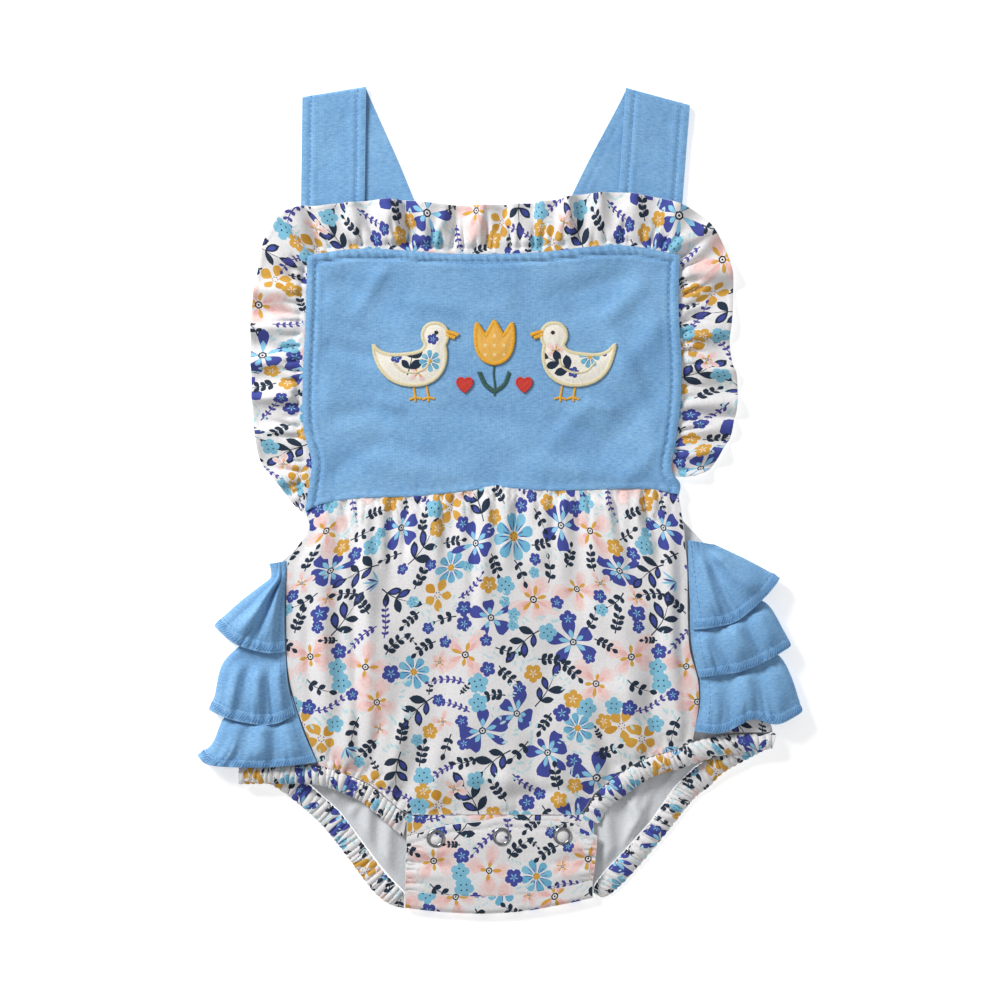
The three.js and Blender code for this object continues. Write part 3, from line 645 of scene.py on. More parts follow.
def dot(x, y, radius, points=7):
    turn = TURN * np.arange(points) / points
    return np.stack([x + radius * np.cos(turn), y + radius * np.sin(turn)], -1)


def stem(length, bend, width, points=5):
    """A thin tapering stem from the origin, bending to the left by `bend` at its tip."""
    s = np.linspace(0, 1, points)
    x, y = length * s, bend * s**2
    half = width / 2 * (1 - 0.6 * s)
    return np.concatenate([np.stack([x, y + half], -1), np.stack([x, y - half], -1)[::-1]])


def eye(radius):
    middle = (dot(0, 0, radius * 0.3, 5), NIGHT)
    return [(dot(0, 0, radius), NIGHT), (dot(0, 0, radius * 0.62), GROUND), middle]


def dots_round(size, reach, radius, turns, ink):
    """Small square dots round the motif's middle."""
    places = [(size * reach * math.cos(turn), size * reach * math.sin(turn)) for turn in turns]
    return [(dot(x, y, size * radius, 4), ink) for x, y in places]


def royal_bloom(size, picks):
    """Five or six uneven petals, some heart shaped and some slim, each with a pale throat."""
    count = picks.choice((5, 5, 6))
    turns = [TURN * (k + picks.uniform(-0.2, 0.2)) / count for k in range(count)]
    reaches = [size * picks.uniform(0.66, 1.12) for _ in turns]
    shapes = []
    for turn, reach in zip(turns, reaches):
        slim = picks.random() < 0.35
        width = size * (picks.uniform(0.26, 0.34) if slim else picks.uniform(0.46, 0.6))
        notch = 0.02 if slim else picks.uniform(0.08, 0.16)
        shapes.append((placed(petal(reach, width, 1.75, notch, size * 0.06, 7), turn=turn), ROYAL))
    shapes += [(placed(petal(r * 0.52, size * 0.17, 1.5, 0, size * 0.1, 4), turn=t), THROAT)
               for t, r in zip(turns, reaches)]
    return shapes + eye(size * 0.14)


def aqua_daisy(size, picks):
    shapes = []
    for k in range(8):
        turn = TURN * (k + picks.uniform(-0.1, 0.1)) / 8
        shape = petal(size * picks.uniform(0.88, 1.03), size * 0.42, 1.7, 0.08, size * 0.1)
        shapes.append((placed(shape, turn=turn), AQUA if k % 3 else SKY))
    for k in range(16):
        shape = petal(size * (0.66 if k % 2 else 0.52), size * 0.045, 0.8, 0, size * 0.2, 3)
        shapes.append((placed(shape, turn=TURN * (k + 0.5) / 16), ROYAL))
    shapes.append((dot(0, 0, size * 0.19, 9), MUSTARD))
    return shapes + dots_round(size, 0.13, 0.025, range(6), NIGHT)


def pink_bloom(size, picks):
    """Washed-out petals, each paler at its rim, round mustard stamens."""
    shapes = []
    count = picks.choice((4, 5))
    for k in range(count):
        turn = TURN * (k + picks.uniform(-0.22, 0.22)) / count
        reach, width = size * picks.uniform(0.72, 1.1), size * picks.uniform(0.42, 0.66)
        rim = petal(reach, width, 1.35, 0.06, size * 0.08)
        blush = petal(reach * 0.82, width * 0.62, 1.3, 0, size * 0.1, 4)
        vein = petal(reach * 0.5, width * 0.3, 1.2, 0, size * 0.1, 3)
        shapes += [(placed(rim, turn=turn), PINK_RIM), (placed(blush, turn=turn + 0.06), PINK),
                   (placed(vein, turn=turn - 0.05), ROSE)]
    for k in range(count):
        turn = TURN * (k + 0.3 + picks.uniform(-0.2, 0.2)) / count
        stamen = petal(size * picks.uniform(0.3, 0.5), size * 0.13, 1.3, 0, size * 0.08, 4)
        shapes.append((placed(stamen, turn=turn), MUSTARD))
    return shapes + eye(size * 0.12)


def mustard_flower(size, picks):
    shapes = []
    for k in range(5):
        turn = TURN * (k + picks.uniform(-0.12, 0.12)) / 5
        shape = petal(size * picks.uniform(0.85, 1.1), size * picks.uniform(0.48, 0.66), 1.25, 0, size * 0.2)
        shapes.append((placed(shape, turn=turn), MUSTARD if k else AMBER))
    shapes.append((dot(0, 0, size * 0.27), "#EFE6DC"))
    return shapes + dots_round(size, 0.17, 0.05, range(1, 7), VIOLET)


def leafy(length, bend, pairs, leaf, width, ink, picks):
    """A stem with leaves in pairs and one at its tip, centred on the motif's middle."""
    shapes = [(stem(length, bend, 0.75), ink)]
    for k in range(pairs + 1):
        s = (k + 0.6) / (pairs + 0.6)
        heading = math.atan2(2 * bend * s, length)
        sides = (1, -1) if k < pairs else (0,)
        for side in sides:
            turn = heading + side * picks.uniform(0.7, 1.0)
            size = picks.uniform(0.8, 1.1)
            shape = placed(petal(leaf * size, width * size, 1.15, points=5), length * s, bend * s * s, turn)
            shapes.append((shape, ink))
    return [(shape - (length / 2, bend / 3), colour) for shape, colour in shapes]


def navy_sprig(size, picks):
    bend = size * picks.uniform(-0.6, 0.6)
    return leafy(size * 1.45, bend, picks.choice((2, 3)), size * 0.52, size * 0.33, NAVY, picks)


def violet_vine(size, picks):
    return leafy(size * 1.8, size * picks.uniform(0.4, 0.9), 5, size * 0.3, size * 0.17, VIOLET, picks)


def leaf_spray(size, picks):
    """Large pointed leaves, some with a royal half."""
    shapes = leafy(size * 1.7, size * 0.4, 2, size * 0.88, size * 0.42, NAVY, picks)
    return shapes + [(placed(shape, size=0.6) + shape.mean(axis=0) * 0.4, ROYAL) for shape, _ in shapes[1::2]]


def feathers(size, picks):
    """Aqua and violet blades that spread from one point."""
    return [(placed(petal(size * picks.uniform(0.7, 1.1), size * 0.16, 1.1, points=4), 0, 0, -0.9 + 0.3 * k),
             (SKY, PALE_AQUA, VIOLET)[k % 3]) for k in range(7)]


def cluster(size, radius, ink):
    """Five round petals and their middle."""
    round_petal = dot(size * 0.55, 0, size * radius, 7)
    shapes = [(placed(round_petal, turn=TURN * k / 5), ink) for k in range(5)]
    return shapes + [(dot(0, 0, size * 0.42, 6), ink)]


def blossom(size, ink, heart):
    ray = petal(size * 0.5, size * 0.14, 1, 0, 0.1, 2)
    return cluster(size, 0.42, ink) + [(placed(ray, turn=TURN * k / 5), heart) for k in range(5)]


def speckled(size, ink, speck):
    spot = placed(dot(size * 0.36, 0, size * 0.1, 4), turn=0.4)
    return cluster(size, 0.44, ink) + [(placed(spot, turn=math.pi * k / 2), speck) for k in range(4)]


def brush_marks(size, picks):
    return [(placed(petal(size * 0.7, size * 0.26, 1, points=3), size * picks.uniform(-0.9, 0.6),
                    size * (0.42 * k - 0.9), picks.uniform(0.3, 1.1)), PALE_AQUA) for k in range(5)]


print("inks of the print:", ROYAL, AQUA, MUSTARD, PINK, NAVY)

# %% [markdown]
# A printer's repeat is a tile that joins itself on every side. Here a seeded hand drops the motifs onto one
# tile, the largest first, and keeps each only where it has room, also across the tile's edges. A panel is
# then cut from the repeated tile, each one from its own place on the roll.

# %% One repeat of the print
TILE = (172.0, 160.0)
PRINT_SEED = 23
PRINTED, PLAIN = (GROUND, True), (REVERSE, False)  # the two sides of the floral cloth
CLOSENESS = 0.78  # how near two motifs may come, as a share of the room that they ask for
TRIES = 140  # for each motif, before it is left out
LARGEST_MOTIF = 20  # mm from its middle, so that a motif may hang over the edge of a cut
# kind, radius it keeps free, drawn size, how many
SOWING = [
    ("royal", 11.0, 15.0, 10), ("daisy", 15.0, 16.0, 1), ("pink", 12.5, 16.5, 9), ("daisy", 9.6, 10.5, 3),
    ("mustard", 8.0, 8.8, 5), ("spray", 9.5, 10.5, 10), ("vine", 8.0, 9.6, 10), ("sprig", 7.6, 8.2, 44),
    ("royal_small", 5.0, 5.0, 14), ("sky", 5.0, 5.6, 14), ("amber", 4.8, 5.2, 14),
    ("feathers", 6.0, 9.0, 9), ("pink_small", 5.5, 7.5, 14), ("royal_small", 3.6, 3.8, 16),
    ("sky", 3.4, 3.6, 10), ("brush", 4.4, 5.6, 40), ("sprig_small", 4.4, 4.8, 44), ("brush", 3.0, 3.8, 40),
]
KINDS = {
    "royal": royal_bloom,
    "daisy": aqua_daisy,
    "pink": pink_bloom,
    "pink_small": pink_bloom,
    "mustard": mustard_flower,
    "spray": leaf_spray,
    "vine": violet_vine,
    "sprig": navy_sprig,
    "sprig_small": navy_sprig,
    "royal_small": lambda size, picks: blossom(size, ROYAL, THROAT),
    "sky": lambda size, picks: speckled(size, SKY, NAVY),
    "amber": lambda size, picks: blossom(size, MUSTARD, "#F6E3D0"),
    "brush": brush_marks,
    "feathers": feathers,
}


def is_clear(x, y, room, taken):
    for other_x, other_y, other_room in taken:
        dx, dy = abs(x - other_x), abs(y - other_y)
        gap = math.hypot(min(dx, TILE[0] - dx), min(dy, TILE[1] - dy))
        if gap < CLOSENESS * (room + other_room):
            return False
    return True


def sow_tile():
    picks = random.Random(PRINT_SEED)
    taken = []
    sown = []
    for kind, room, size, count in SOWING:
        for _ in range(count):
            for _ in range(TRIES):
                x, y = picks.uniform(0, TILE[0]), picks.uniform(0, TILE[1])
                if is_clear(x, y, room, taken):
                    taken.append((x, y, room))
                    turn = picks.uniform(0, TURN)
                    shapes = KINDS[kind](size * picks.uniform(0.9, 1.08), picks)
                    sown.append([(placed(shape, x, y, turn), ink) for shape, ink in shapes])
                    break
    return sown


tile = sow_tile()


def print_for(low, high, start=(0.0, 0.0), spread=lambda shape: shape):
    """The motifs that fall on a stretch of cloth. `start` is its place on the roll."""
    motifs = []
    reach = np.array(low) - LARGEST_MOTIF, np.array(high) + LARGEST_MOTIF
    first = [math.floor((low[k] + start[k]) / TILE[k]) - 1 for k in (0, 1)]
    last = [math.ceil((high[k] + start[k]) / TILE[k]) + 1 for k in (0, 1)]
    for step_x in range(first[0], last[0]):
        for step_y in range(first[1], last[1]):
            move = np.array([step_x * TILE[0] - start[0], step_y * TILE[1] - start[1]])
            for motif in tile:
                centre = motif[0][0].mean(axis=0) + move
                if (centre > reach[0]).all() and (centre < reach[1]).all():
                    motifs.extend((spread(shape + move), ink) for shape, ink in motif)
    return motifs


print(len(tile), "motifs and", sum(len(m) for m in tile), "shapes in one repeat")

# %% [markdown]
# The bib is a square of jersey that is turned and topstitched. Its edge is a soft roll, the stitches
# pull a groove 4.5 mm inside it, and the middle lies a little lower with a few broad rumples. It is a flat
# outline with a height for each point, so its flat position is simply its place on the table.

# %% Bib
EDGE_STEP = 1.4
BIB_MIDDLE = 4.2  # height of the bib's middle, between its raised edges
BIB_FRAME = 26  # width of the slope from those edges
TOPSTITCH = 4.6  # from the edge to the row of stitches
RIPPLE_PITCH = 2.7  # the small puckers that each stitch pulls
WAIST_LENGTH = 202
BIB = {
    "top": paced([[-103.5, 131], [-73, 134.8], [-25, 132], [18, 132.6], [63, 136.6], [96.8, 131.4]]),
    "left": paced([
        [-103.5, 131], [-104.2, 102], [-106, 61], [-105.4, 38], [-101.3, 22], [-101.5, 14], [-104.8, -6.3],
    ]),
    "right": paced([[96.8, 131.4], [95.9, 105], [97.6, 65], [95, 35], [92.1, 17], [96.7, 8.4], [96.1, 3]]),
}
WAIST_SEAM = paced([
    [-104.8, -6.6], [-94.5, -2.2], [-75.6, 0.5], [-45.4, 1.6], [-22.7, 3.9], [0, 6.2], [27, 4.6],
    [76, 5.7], [91.3, 3.4], [96.1, 2.6],
])
# start x, start y, end x, end y, rise, half width
BIB_FOLDS = [
    [-88, 120, -50, 94, -1.65, 6], [-94, 108, -70, 92, 1.2, 5], [70, 122, 26, 106, -1.95, 7],
    [78, 116, 52, 92, 1.5, 5], [88, 96, 58, 60, 1.65, 7], [-98, 60, -66, 28, 1.5, 8],
    [84, 60, 48, 18, -1.8, 8], [60, 88, 84, 40, 1.5, 5], [-30, 50, 20, 38, -1.2, 8],
    [-80, 24, -20, 12, 1.5, 7], [10, 20, 80, 12, 1.35, 6], [-8, 128, 10, 100, 1.2, 6],
    [-60, 128, -78, 98, 1.2, 4], [46, 50, 20, 20, 1.2, 6], [-96, 84, -62, 74, -1.35, 5],
    [-92, 44, -62, 50, -1.2, 5], [-60, 40, -34, 24, 1.2, 4], [28, 44, 60, 30, -1.2, 5],
    [-48, 108, -20, 100, 1.05, 5], [36, 100, 64, 108, -1.05, 5], [-90, 14, -60, 34, -1.2, 6],
    [64, 8, 90, 30, 1.35, 5], [-10, 8, 24, 26, -1.05, 8], [-66, 54, -50, 48, 1.05, 3],
    [46, 52, 66, 46, 1.05, 3],
]
WAIST_LINE = line_along(WAIST_SEAM, EDGE_STEP)
BIB_LINES = {side: line_along(curve, EDGE_STEP) for side, curve in BIB.items()}
BIB_TURNED_EDGE = np.concatenate([BIB_LINES["left"][::-1][:-1], BIB_LINES["top"][:-1], BIB_LINES["right"]])


def bib_outline():
    bottom = WAIST_LINE[::-1] + (0, SEAM)
    return np.concatenate([BIB_TURNED_EDGE[:-1], bottom[:-1]])[::-1]


def ridge(away, middle, half_width):
    """A soft ridge that runs along an edge, 1 high."""
    return np.exp(-(((away - middle) / half_width) ** 2))


def rolled_edge(away, roll=0.75, groove=0.75):
    """A turned edge: a soft roll outside the stitches, the groove that they pull and a swell inside it."""
    rolled = roll * ridge(away, TOPSTITCH * 0.45, TOPSTITCH * 0.42)
    return rolled - groove * ridge(away, TOPSTITCH, 0.9) + 0.3 * ridge(away, TOPSTITCH + 2.2, 1.6)


def bib_place(x, y):
    inside_by = np.minimum(np.minimum(x + 104, 96 - x), np.minimum(134 - y, y - 1))
    height = lerp(level(3), BIB_MIDDLE, ease(9, BIB_FRAME, inside_by))
    away, along = to_edge(x, y, BIB_TURNED_EDGE)
    from_seam, seam_along = to_edge(x, y, WAIST_LINE)
    height = height + rolled_edge(away) + fold_height(BIB_FOLDS, x, y) * ease(4, 14, away)
    ripple = np.sin(TURN * (along / RIPPLE_PITCH + 0.4 * away)) * 0.07 * (1 - ease(3.5, 5.5, away))
    tugs = puckers(seam_along, from_seam, WAIST_LENGTH, 22, 12, 0.35, 5) * ease(4, 9, away)
    seam_roll = 0.6 * ridge(from_seam, 1.2, 1.4)
    return stack_up(x, y, height + ripple + tugs + seam_roll)


bib = sew("bib_cloth", bib_outline(), bib_place, (1.7, 1.7), blue_jersey)

# %% [markdown]
# The ruffle is one long strip, gathered into the bib's edge. On the table the gathers stand up in short
# pinched creases at the seam and open into waves at the free edge, which is a soft fold. A strip keeps its
# length along one axis and its width along the other, and the print on it is squeezed where it is gathered.

# %% Bib ruffle
RUFFLE_GATHERS = 27
RUFFLE_TUCK = 7  # width that is hidden under the bib's edge
RUFFLE_CREST = 2.2  # height of its waves at the free edge
RUFFLE_SWAY = 1.2  # how far the free edge swings
RUFFLE_FULLNESS = 1.3  # length of the cut strip for each length of seam
# inner x, inner y, outer x, outer y
RUFFLE = paced([
    [-101.5, -2, -107.5, -5.5], [-100.8, 8, -115.6, 3], [-98.8, 20, -128.3, 20.3],
    [-101, 37.5, -132.3, 38], [-101.5, 67, -134, 67.2], [-100, 97, -133.9, 100.2],
    [-99.4, 113, -130.7, 121.2], [-97.8, 122, -125.3, 142.3], [-92.9, 126.8, -115, 155.3],
    [-81, 129.5, -91.8, 158.5], [-54, 129.5, -57.2, 161.2], [-24.8, 127.8, -24.8, 158.5],
    [16.2, 128.3, 16.2, 159.6], [54, 131, 54, 165], [78.3, 130.4, 82.1, 162.8], [87.6, 127, 105.3, 154.7],
    [91.4, 120.5, 118.8, 139.6], [91.2, 107.7, 125.7, 115.8], [91.2, 83.4, 123.7, 83.4],
    [92.4, 60.2, 128, 60.2], [90.2, 35.4, 124.2, 35.4], [88, 22.4, 114.5, 19.2], [90, 13, 104.2, 12],
], strip_middle)
RUFFLE_WIDTH = 34
RUFFLE_STRIP = RUFFLE.length
# along the strip and out from the seam, in mm: start, end, rise, half width
RUFFLE_FOLDS = [
    [34, 4, 40, 30, -1.87, 3.4], [62, 5, 58, 33, 1.7, 4], [90, 4, 97, 30, -2.04, 3],
    [121, 6, 118, 34, 1.53, 4], [150, 5, 158, 33, -1.87, 3.2], [178, 4, 171, 28, 1.7, 3.6],
    [205, 4, 214, 34, -2.55, 2.6], [219, 6, 226, 34, 2.55, 3], [240, 5, 238, 30, -1.7, 3.4],
    [266, 6, 272, 34, 1.7, 4.4], [292, 4, 290, 28, -1.87, 3], [318, 6, 324, 34, 1.53, 4],
    [347, 5, 343, 31, -2.04, 3.2], [371, 5, 377, 34, 1.87, 4], [399, 4, 396, 30, -2.04, 3],
    [424, 5, 433, 34, 1.7, 4], [452, 4, 450, 31, -1.7, 3.4], [479, 6, 472, 33, 1.7, 3.8],
    [506, 4, 512, 30, -2.04, 3], [538, 5, 533, 33, 1.53, 4], [196, 5, 199, 36, 3.2, 4.4],
    [204, 5, 205, 36, -2.6, 2.2], [211, 5, 213, 36, 2.6, 4], [238, 5, 242, 36, 2.8, 4.2],
    [246, 5, 249, 36, -2.4, 2.2], [290, 5, 287, 36, 2.4, 4], [297, 5, 296, 36, -2.2, 2.2],
    [130, 5, 134, 36, 2.4, 4], [64, 5, 60, 36, 2.4, 4], [352, 5, 356, 36, 2.6, 4],
    [360, 5, 364, 36, -2.2, 2.4], [412, 5, 408, 36, 2.4, 4],
]


def ruffle_place(a, b):
    u, v = a / RUFFLE_STRIP, b / RUFFLE_WIDTH
    rows = RUFFLE(u)
    width = np.hypot(rows[:, 2] - rows[:, 0], rows[:, 3] - rows[:, 1])
    tuck = np.minimum(RUFFLE_TUCK, width / 2)
    from_seam = np.where(v < 1 / 3, 3 * v * tuck, lerp(tuck, width, (3 * v - 1) / 2))
    sway = RUFFLE_SWAY * ease(0.5, 1, v) * gather(u + 0.01, RUFFLE_GATHERS, 1.2)
    heading = (rows[:, 2:] - rows[:, :2]) / width[:, None]
    x = rows[:, 0] + heading[:, 0] * from_seam + heading[:, 1] * sway
    y = rows[:, 1] + heading[:, 1] * from_seam - heading[:, 0] * sway
    on_straps = ease(28, 42, np.abs(x + 4)) * ease(112, 124, y)
    floor_height = lerp(level(0) + 0.1, level(2), on_straps)
    drop = lerp(level(2), floor_height, ease(RUFFLE_TUCK, 4 * RUFFLE_TUCK, from_seam))
    opened = ease(RUFFLE_TUCK * 0.9, 4 * RUFFLE_TUCK, from_seam)
    waves = RUFFLE_CREST * opened * (1 + 0.3 * gather(u, 7, 1)) * (1 + gather(u, RUFFLE_GATHERS, 0.7))
    out = from_seam - RUFFLE_TUCK
    pinched = puckers(a, np.maximum(out, 0), RUFFLE_STRIP, 80, 26, 2.7, 11) * ease(-1.5, 1.5, out)
    folds = fold_height(RUFFLE_FOLDS, a, b) * ease(0, 4, out)
    lift = 1.1 * ease(-1, 5, out) * (1 - 0.6 * ease(10, 26, out))  # gathered cloth stands proud of the seam
    hem = 0.35 * ridge(width - from_seam, 0.8, 0.9)
    return stack_up(x, y, drop + waves + pinched + folds + lift + hem)


def gathered(fullness, middle=0.0):
    """Squeezes a print along a gathered strip."""
    return lambda shape: np.stack([middle + (shape[:, 0] - middle) / fullness, shape[:, 1]], -1)


ruffle_cut = (RUFFLE_STRIP * RUFFLE_FULLNESS, RUFFLE_WIDTH)
ruffle_print = print_for((0, 0), ruffle_cut, (31, 12), gathered(RUFFLE_FULLNESS))
ruffle = sew("bib_ruffle_cloth", rectangle(RUFFLE_STRIP, RUFFLE_WIDTH, 1.3, 1.3), ruffle_place, (1.2, 1.5),
             floral_print, ruffle_print, PRINTED, PLAIN, (2.2, 2.5))
print("the ruffle's seam is", round(RUFFLE_STRIP), "mm long")

# %% [markdown]
# Each strap is a turned and topstitched band. It comes up from the bib, folds over at the shoulder and runs
# down behind to the back waist, where the two cross. The fold is a half circle of cloth.

# %% Straps
STRAP_WIDTH = 34
# "tilt" is the slope of the shoulder fold, and "lift" the layers that it rises where the straps cross
STRAPS = {
    "strap_left": {
        "front": (-90.6, 126.5), "shoulder": (-89.3, 219.6), "back": (3.8, -7), "tilt": 5.5, "lift": 0,
    },
    "strap_right": {
        "front": (78.5, 126.5), "shoulder": (85, 217.2), "back": (-26.5, -12), "tilt": -9.2, "lift": 1,
    },
}
STRAP_RADIUS = 1.2  # of the fold at the shoulder
BEHIND = 0.35  # share of the creases that shows on the part behind
# across the strap and down it from the bib, in mm: start, end, rise, half width
STRAP_FOLDS = [
    [6, 12, 14, 36, -0.3, 4], [26, 30, 18, 58, 0.35, 5], [8, 60, 12, 88, 0.3, 4],
    [22, 70, 26, 90, -0.3, 3.5], [10, 104, 20, 130, 0.35, 5], [26, 118, 18, 150, -0.3, 4],
    [12, 160, 8, 200, 0.3, 5], [24, 190, 20, 240, 0.3, 5],
]


def strap_rows(strap):
    front_length = math.dist(strap["front"], strap["shoulder"])
    turn_length = math.pi * STRAP_RADIUS
    back_length = math.dist(strap["shoulder"], strap["back"])
    return np.cumsum([0, front_length, turn_length, back_length])


def strap_place(strap):
    marks = strap_rows(strap)
    (front_x, front_y), (top_x, top_y), (back_x, back_y) = strap["front"], strap["shoulder"], strap["back"]

    def place(a, b):
        side = a - STRAP_WIDTH / 2
        top = top_y + side / STRAP_WIDTH * strap["tilt"] - STRAP_RADIUS
        up = np.clip(b / marks[1], 0, 1)
        angle = np.pi * np.clip((b - marks[1]) / (marks[2] - marks[1]), 0, 1)
        down = np.clip((b - marks[2]) / (marks[3] - marks[2]), 0, 1)
        slant = math.hypot(1, (back_x - top_x) / (top_y - back_y))
        y_down = lerp(top, back_y, down)
        crossing = strap["lift"] * (1 - ease(66, 84, y_down)) * LAYER
        first, last = b < marks[1], b > marks[2]
        x = np.where(first, lerp(front_x, top_x, up) + side, top_x + side)
        x = np.where(last, lerp(top_x, back_x, down) + side * lerp(1, slant, ease(0, 0.2, down)), x)
        y = np.where(first, lerp(front_y, top, up), top + STRAP_RADIUS * np.sin(angle))
        y = np.where(last, y_down, y)
        z = np.where(first, lerp(level(1), level(0) + 2 * STRAP_RADIUS, ease(0.7, 1, up)),
                     level(0) + STRAP_RADIUS * (1 + np.cos(angle)))
        z = np.where(last, level(0) + crossing, z)
        away = np.minimum(a, STRAP_WIDTH - a)
        flat = 1 - ridge(b, marks[1] + 2, 4)
        swell = (rolled_edge(away, 0.35, 0.35) + fold_height(STRAP_FOLDS, a, b)) * flat
        return stack_up(x, y, z + np.where(last, BEHIND * swell, swell))

    return place


straps = {}
for name, strap in STRAPS.items():
    outline = rectangle(STRAP_WIDTH, strap_rows(strap)[3], 1.1, 1.3)
    straps[name] = sew(f"{name}_cloth", outline, strap_place(strap), (1.5, 1.4), blue_jersey)

# %% [markdown]
# The front is cut wider than the bib and gathered into its lower edge, and at the legs it is drawn in again
# by the elastic. So creases run down from the waist and up from the leg holes. The long ones are listed in
# a table, uneven as on the garment, and the short pinched ones come from `puckers`.

# %% Front panel
SEAM_LEFT = paced([
    [-104.8, -6.6], [-102.8, -16.5], [-108.5, -24.4], [-114, -33.5], [-114.9, -44.6], [-115.3, -67.8],
    [-114.9, -82.4], [-113.4, -96.7], [-109.6, -111.2], [-104.8, -124.7], [-97.7, -142.6],
])
SEAM_RIGHT = paced([
    [96.1, 2.6], [98.8, -13.8], [99.7, -23.5], [100.9, -38.8], [101.1, -61.8], [102.1, -80.2],
    [106.4, -96.7], [106.9, -111.2], [103.7, -129.5],
])
FRONT_HEM = paced([
    [-97.7, -142.6], [-83.7, -147.2], [-70.2, -153.1], [-61.6, -160.1], [-54, -166.6], [-48, -169.3],
    [-38, -169.5], [0, -169.5], [34, -169.5], [43.2, -169], [50.8, -158.5], [60.5, -150.4], [73.4, -141.5],
    [82.1, -137.7], [94.5, -134.2], [103.7, -129.5],
])
# start x, start y, end x, end y, rise, half width
FRONT_FOLDS = [
    [-97, -10, -95, -128, 2.02, 4.9], [-88, -4, -84, -120, -1.4, 4.3], [-72.4, -2, -70, -148, 2.94, 4.5],
    [-79, -20, -76, -150, -2.33, 3.2], [-58, 0, -60, -70, -1.24, 5.4], [-40, 0, -44, -52, 1.4, 5.4],
    [-26, 3, -30, -40, -1.24, 4.3], [-8.6, 4, -10, -64, 2.02, 4.5], [-14, 4, -15, -72, -1.55, 3.2],
    [10, 5, 14, -46, -1.08, 5.4], [32, 3, 34, -60, 1.55, 4.9], [49, 3, 52, -88, 1.4, 5.4],
    [40, 4, 44, -40, -1.24, 4.3], [65, 4, 84, -33, 2.33, 4.5], [60, 2, 74, -40, -1.71, 4.3],
    [78, 0, 88, -50, -1.24, 4.3], [91, -20, 93, -106, 2.17, 4.8], [84, -60, 82, -120, -1.4, 4.3],
    [20, -36, 52, -60, -1.24, 9.7], [-50, -96, -10, -70, -0.78, 13], [-30, -120, 30, -96, 0.93, 13],
    [-83, -145, -78, -100, 1.86, 3.9], [-90, -143, -90, -112, -1.4, 3.2],
    [-72, -150, -62, -112, -1.55, 3.7], [-61, -158, -48, -106, 2.02, 3.9],
    [-54, -164, -36, -120, -1.4, 4.3], [-36, -168, -33, -128, 1.4, 4.3], [2, -169, 4, -134, 1.4, 4.9],
    [34, -168, 30, -130, 1.4, 4.3], [54, -154, 42, -110, 2.02, 4.1], [62, -148, 50, -104, -1.4, 3.9],
    [76, -140, 66, -96, 2.02, 4.1], [86, -136, 78, -98, -1.4, 3.7], [98, -131, 92, -100, 1.4, 3.7],
    [-66, 2, -62, -40, 1.6, 3.2], [-48, 3, -52, -34, -1.5, 3], [-33, 4, -35, -58, 1.7, 4],
    [-19, 4, -21, -30, 1.4, 3], [2, 4, 4, -38, 1.5, 3.6], [20, 4, 22, -44, 1.6, 3.8],
    [26, 4, 29, -26, -1.4, 3], [57, 3, 66, -46, 1.8, 3.8], [72, 1, 82, -36, 1.7, 3.6],
    [-96, -60, -88, -140, 1.6, 5], [-64, -70, -60, -150, 1.3, 6], [-20, -132, -12, -168, 1.4, 5],
    [16, -130, 20, -168, -1.3, 5], [-104, -70, -100, -130, -1.3, 3.6], [96, -50, 100, -120, -1.4, 3.6],
    [66, -60, 74, -120, 1.2, 7], [-72, -30, -62, -130, 2.2, 12], [60, -56, 70, -130, 2.0, 12],
    [-14, -24, -4, -104, 1.7, 12], [34, -74, 12, -136, -1.5, 10], [-34, -84, -30, -140, -1.4, 9],
    [-30, -149, 28, -152, 1.5, 5], [2, -160, 42, -156, -1.2, 4], [44, -112, 78, -96, 1.2, 8],
]
FRONT_SIDES = {"left": line_along(SEAM_LEFT, EDGE_STEP), "right": line_along(SEAM_RIGHT, EDGE_STEP)}
FRONT_HEM_LINE = line_along(FRONT_HEM, EDGE_STEP)


def front_height(x, y):
    """One layer lower at the bib's seam, where no tier lies under it, and lowest at the crotch."""
    on_back = lerp(level(3), level(4), 1 - ease(-36, -4, y))
    low = lerp(level(2), on_back, ease(-168, -118, y))
    return lerp(low, on_back, ease(58, 98, np.abs(x + 1)))


def front_place(x, y):
    from_top, top_along = to_edge(x, y, WAIST_LINE)
    from_top = np.where(y > np.interp(x, WAIST_LINE[:, 0], WAIST_LINE[:, 1]), -from_top, from_top)
    from_hem, hem_along = to_edge(x, y, FRONT_HEM_LINE)
    from_side = np.minimum(*[to_edge(x, y, line)[0] for line in FRONT_SIDES.values()])
    inner = ease(0, 10, from_side)
    crest = 0.7 * gather((x + 105) / 201, 17, 2.1) * (1 - ease(2, 52, from_top)) * ease(-1, 5, from_top)
    below_waist = np.maximum(from_top, 0)
    pinched = puckers(top_along, below_waist, WAIST_LENGTH, 46, 34, 1.5, 3) * ease(-1, 2, from_top)
    on_leg = 1 - ease(28, 46, -np.abs(x + 4) + 84)  # the elastic stretches only, not the middle of the crotch
    drawn = puckers(hem_along, from_hem, FRONT_HEM.length, 62, 17, 1.1, 8) * (0.25 + 0.75 * on_leg)
    folds = fold_height(FRONT_FOLDS, x, y) * ease(0, 8, from_top) * ease(0, 5, from_hem)
    blouse = 1.2 * ease(0, 9, from_top) * ease(0, 12, from_hem)  # the cloth puffs out from its seams
    tuck = -1.3 * (1 - ease(-UNDERLAP, 0.8, from_top))
    side_lift = 0.5 * (1 - ease(1, 5, from_side)) * ease(2, 10, from_top)
    height = front_height(x, y) + inner * (0.4 + crest + folds + blouse + pinched + drawn)
    return stack_up(x, y, height + tuck + side_lift)


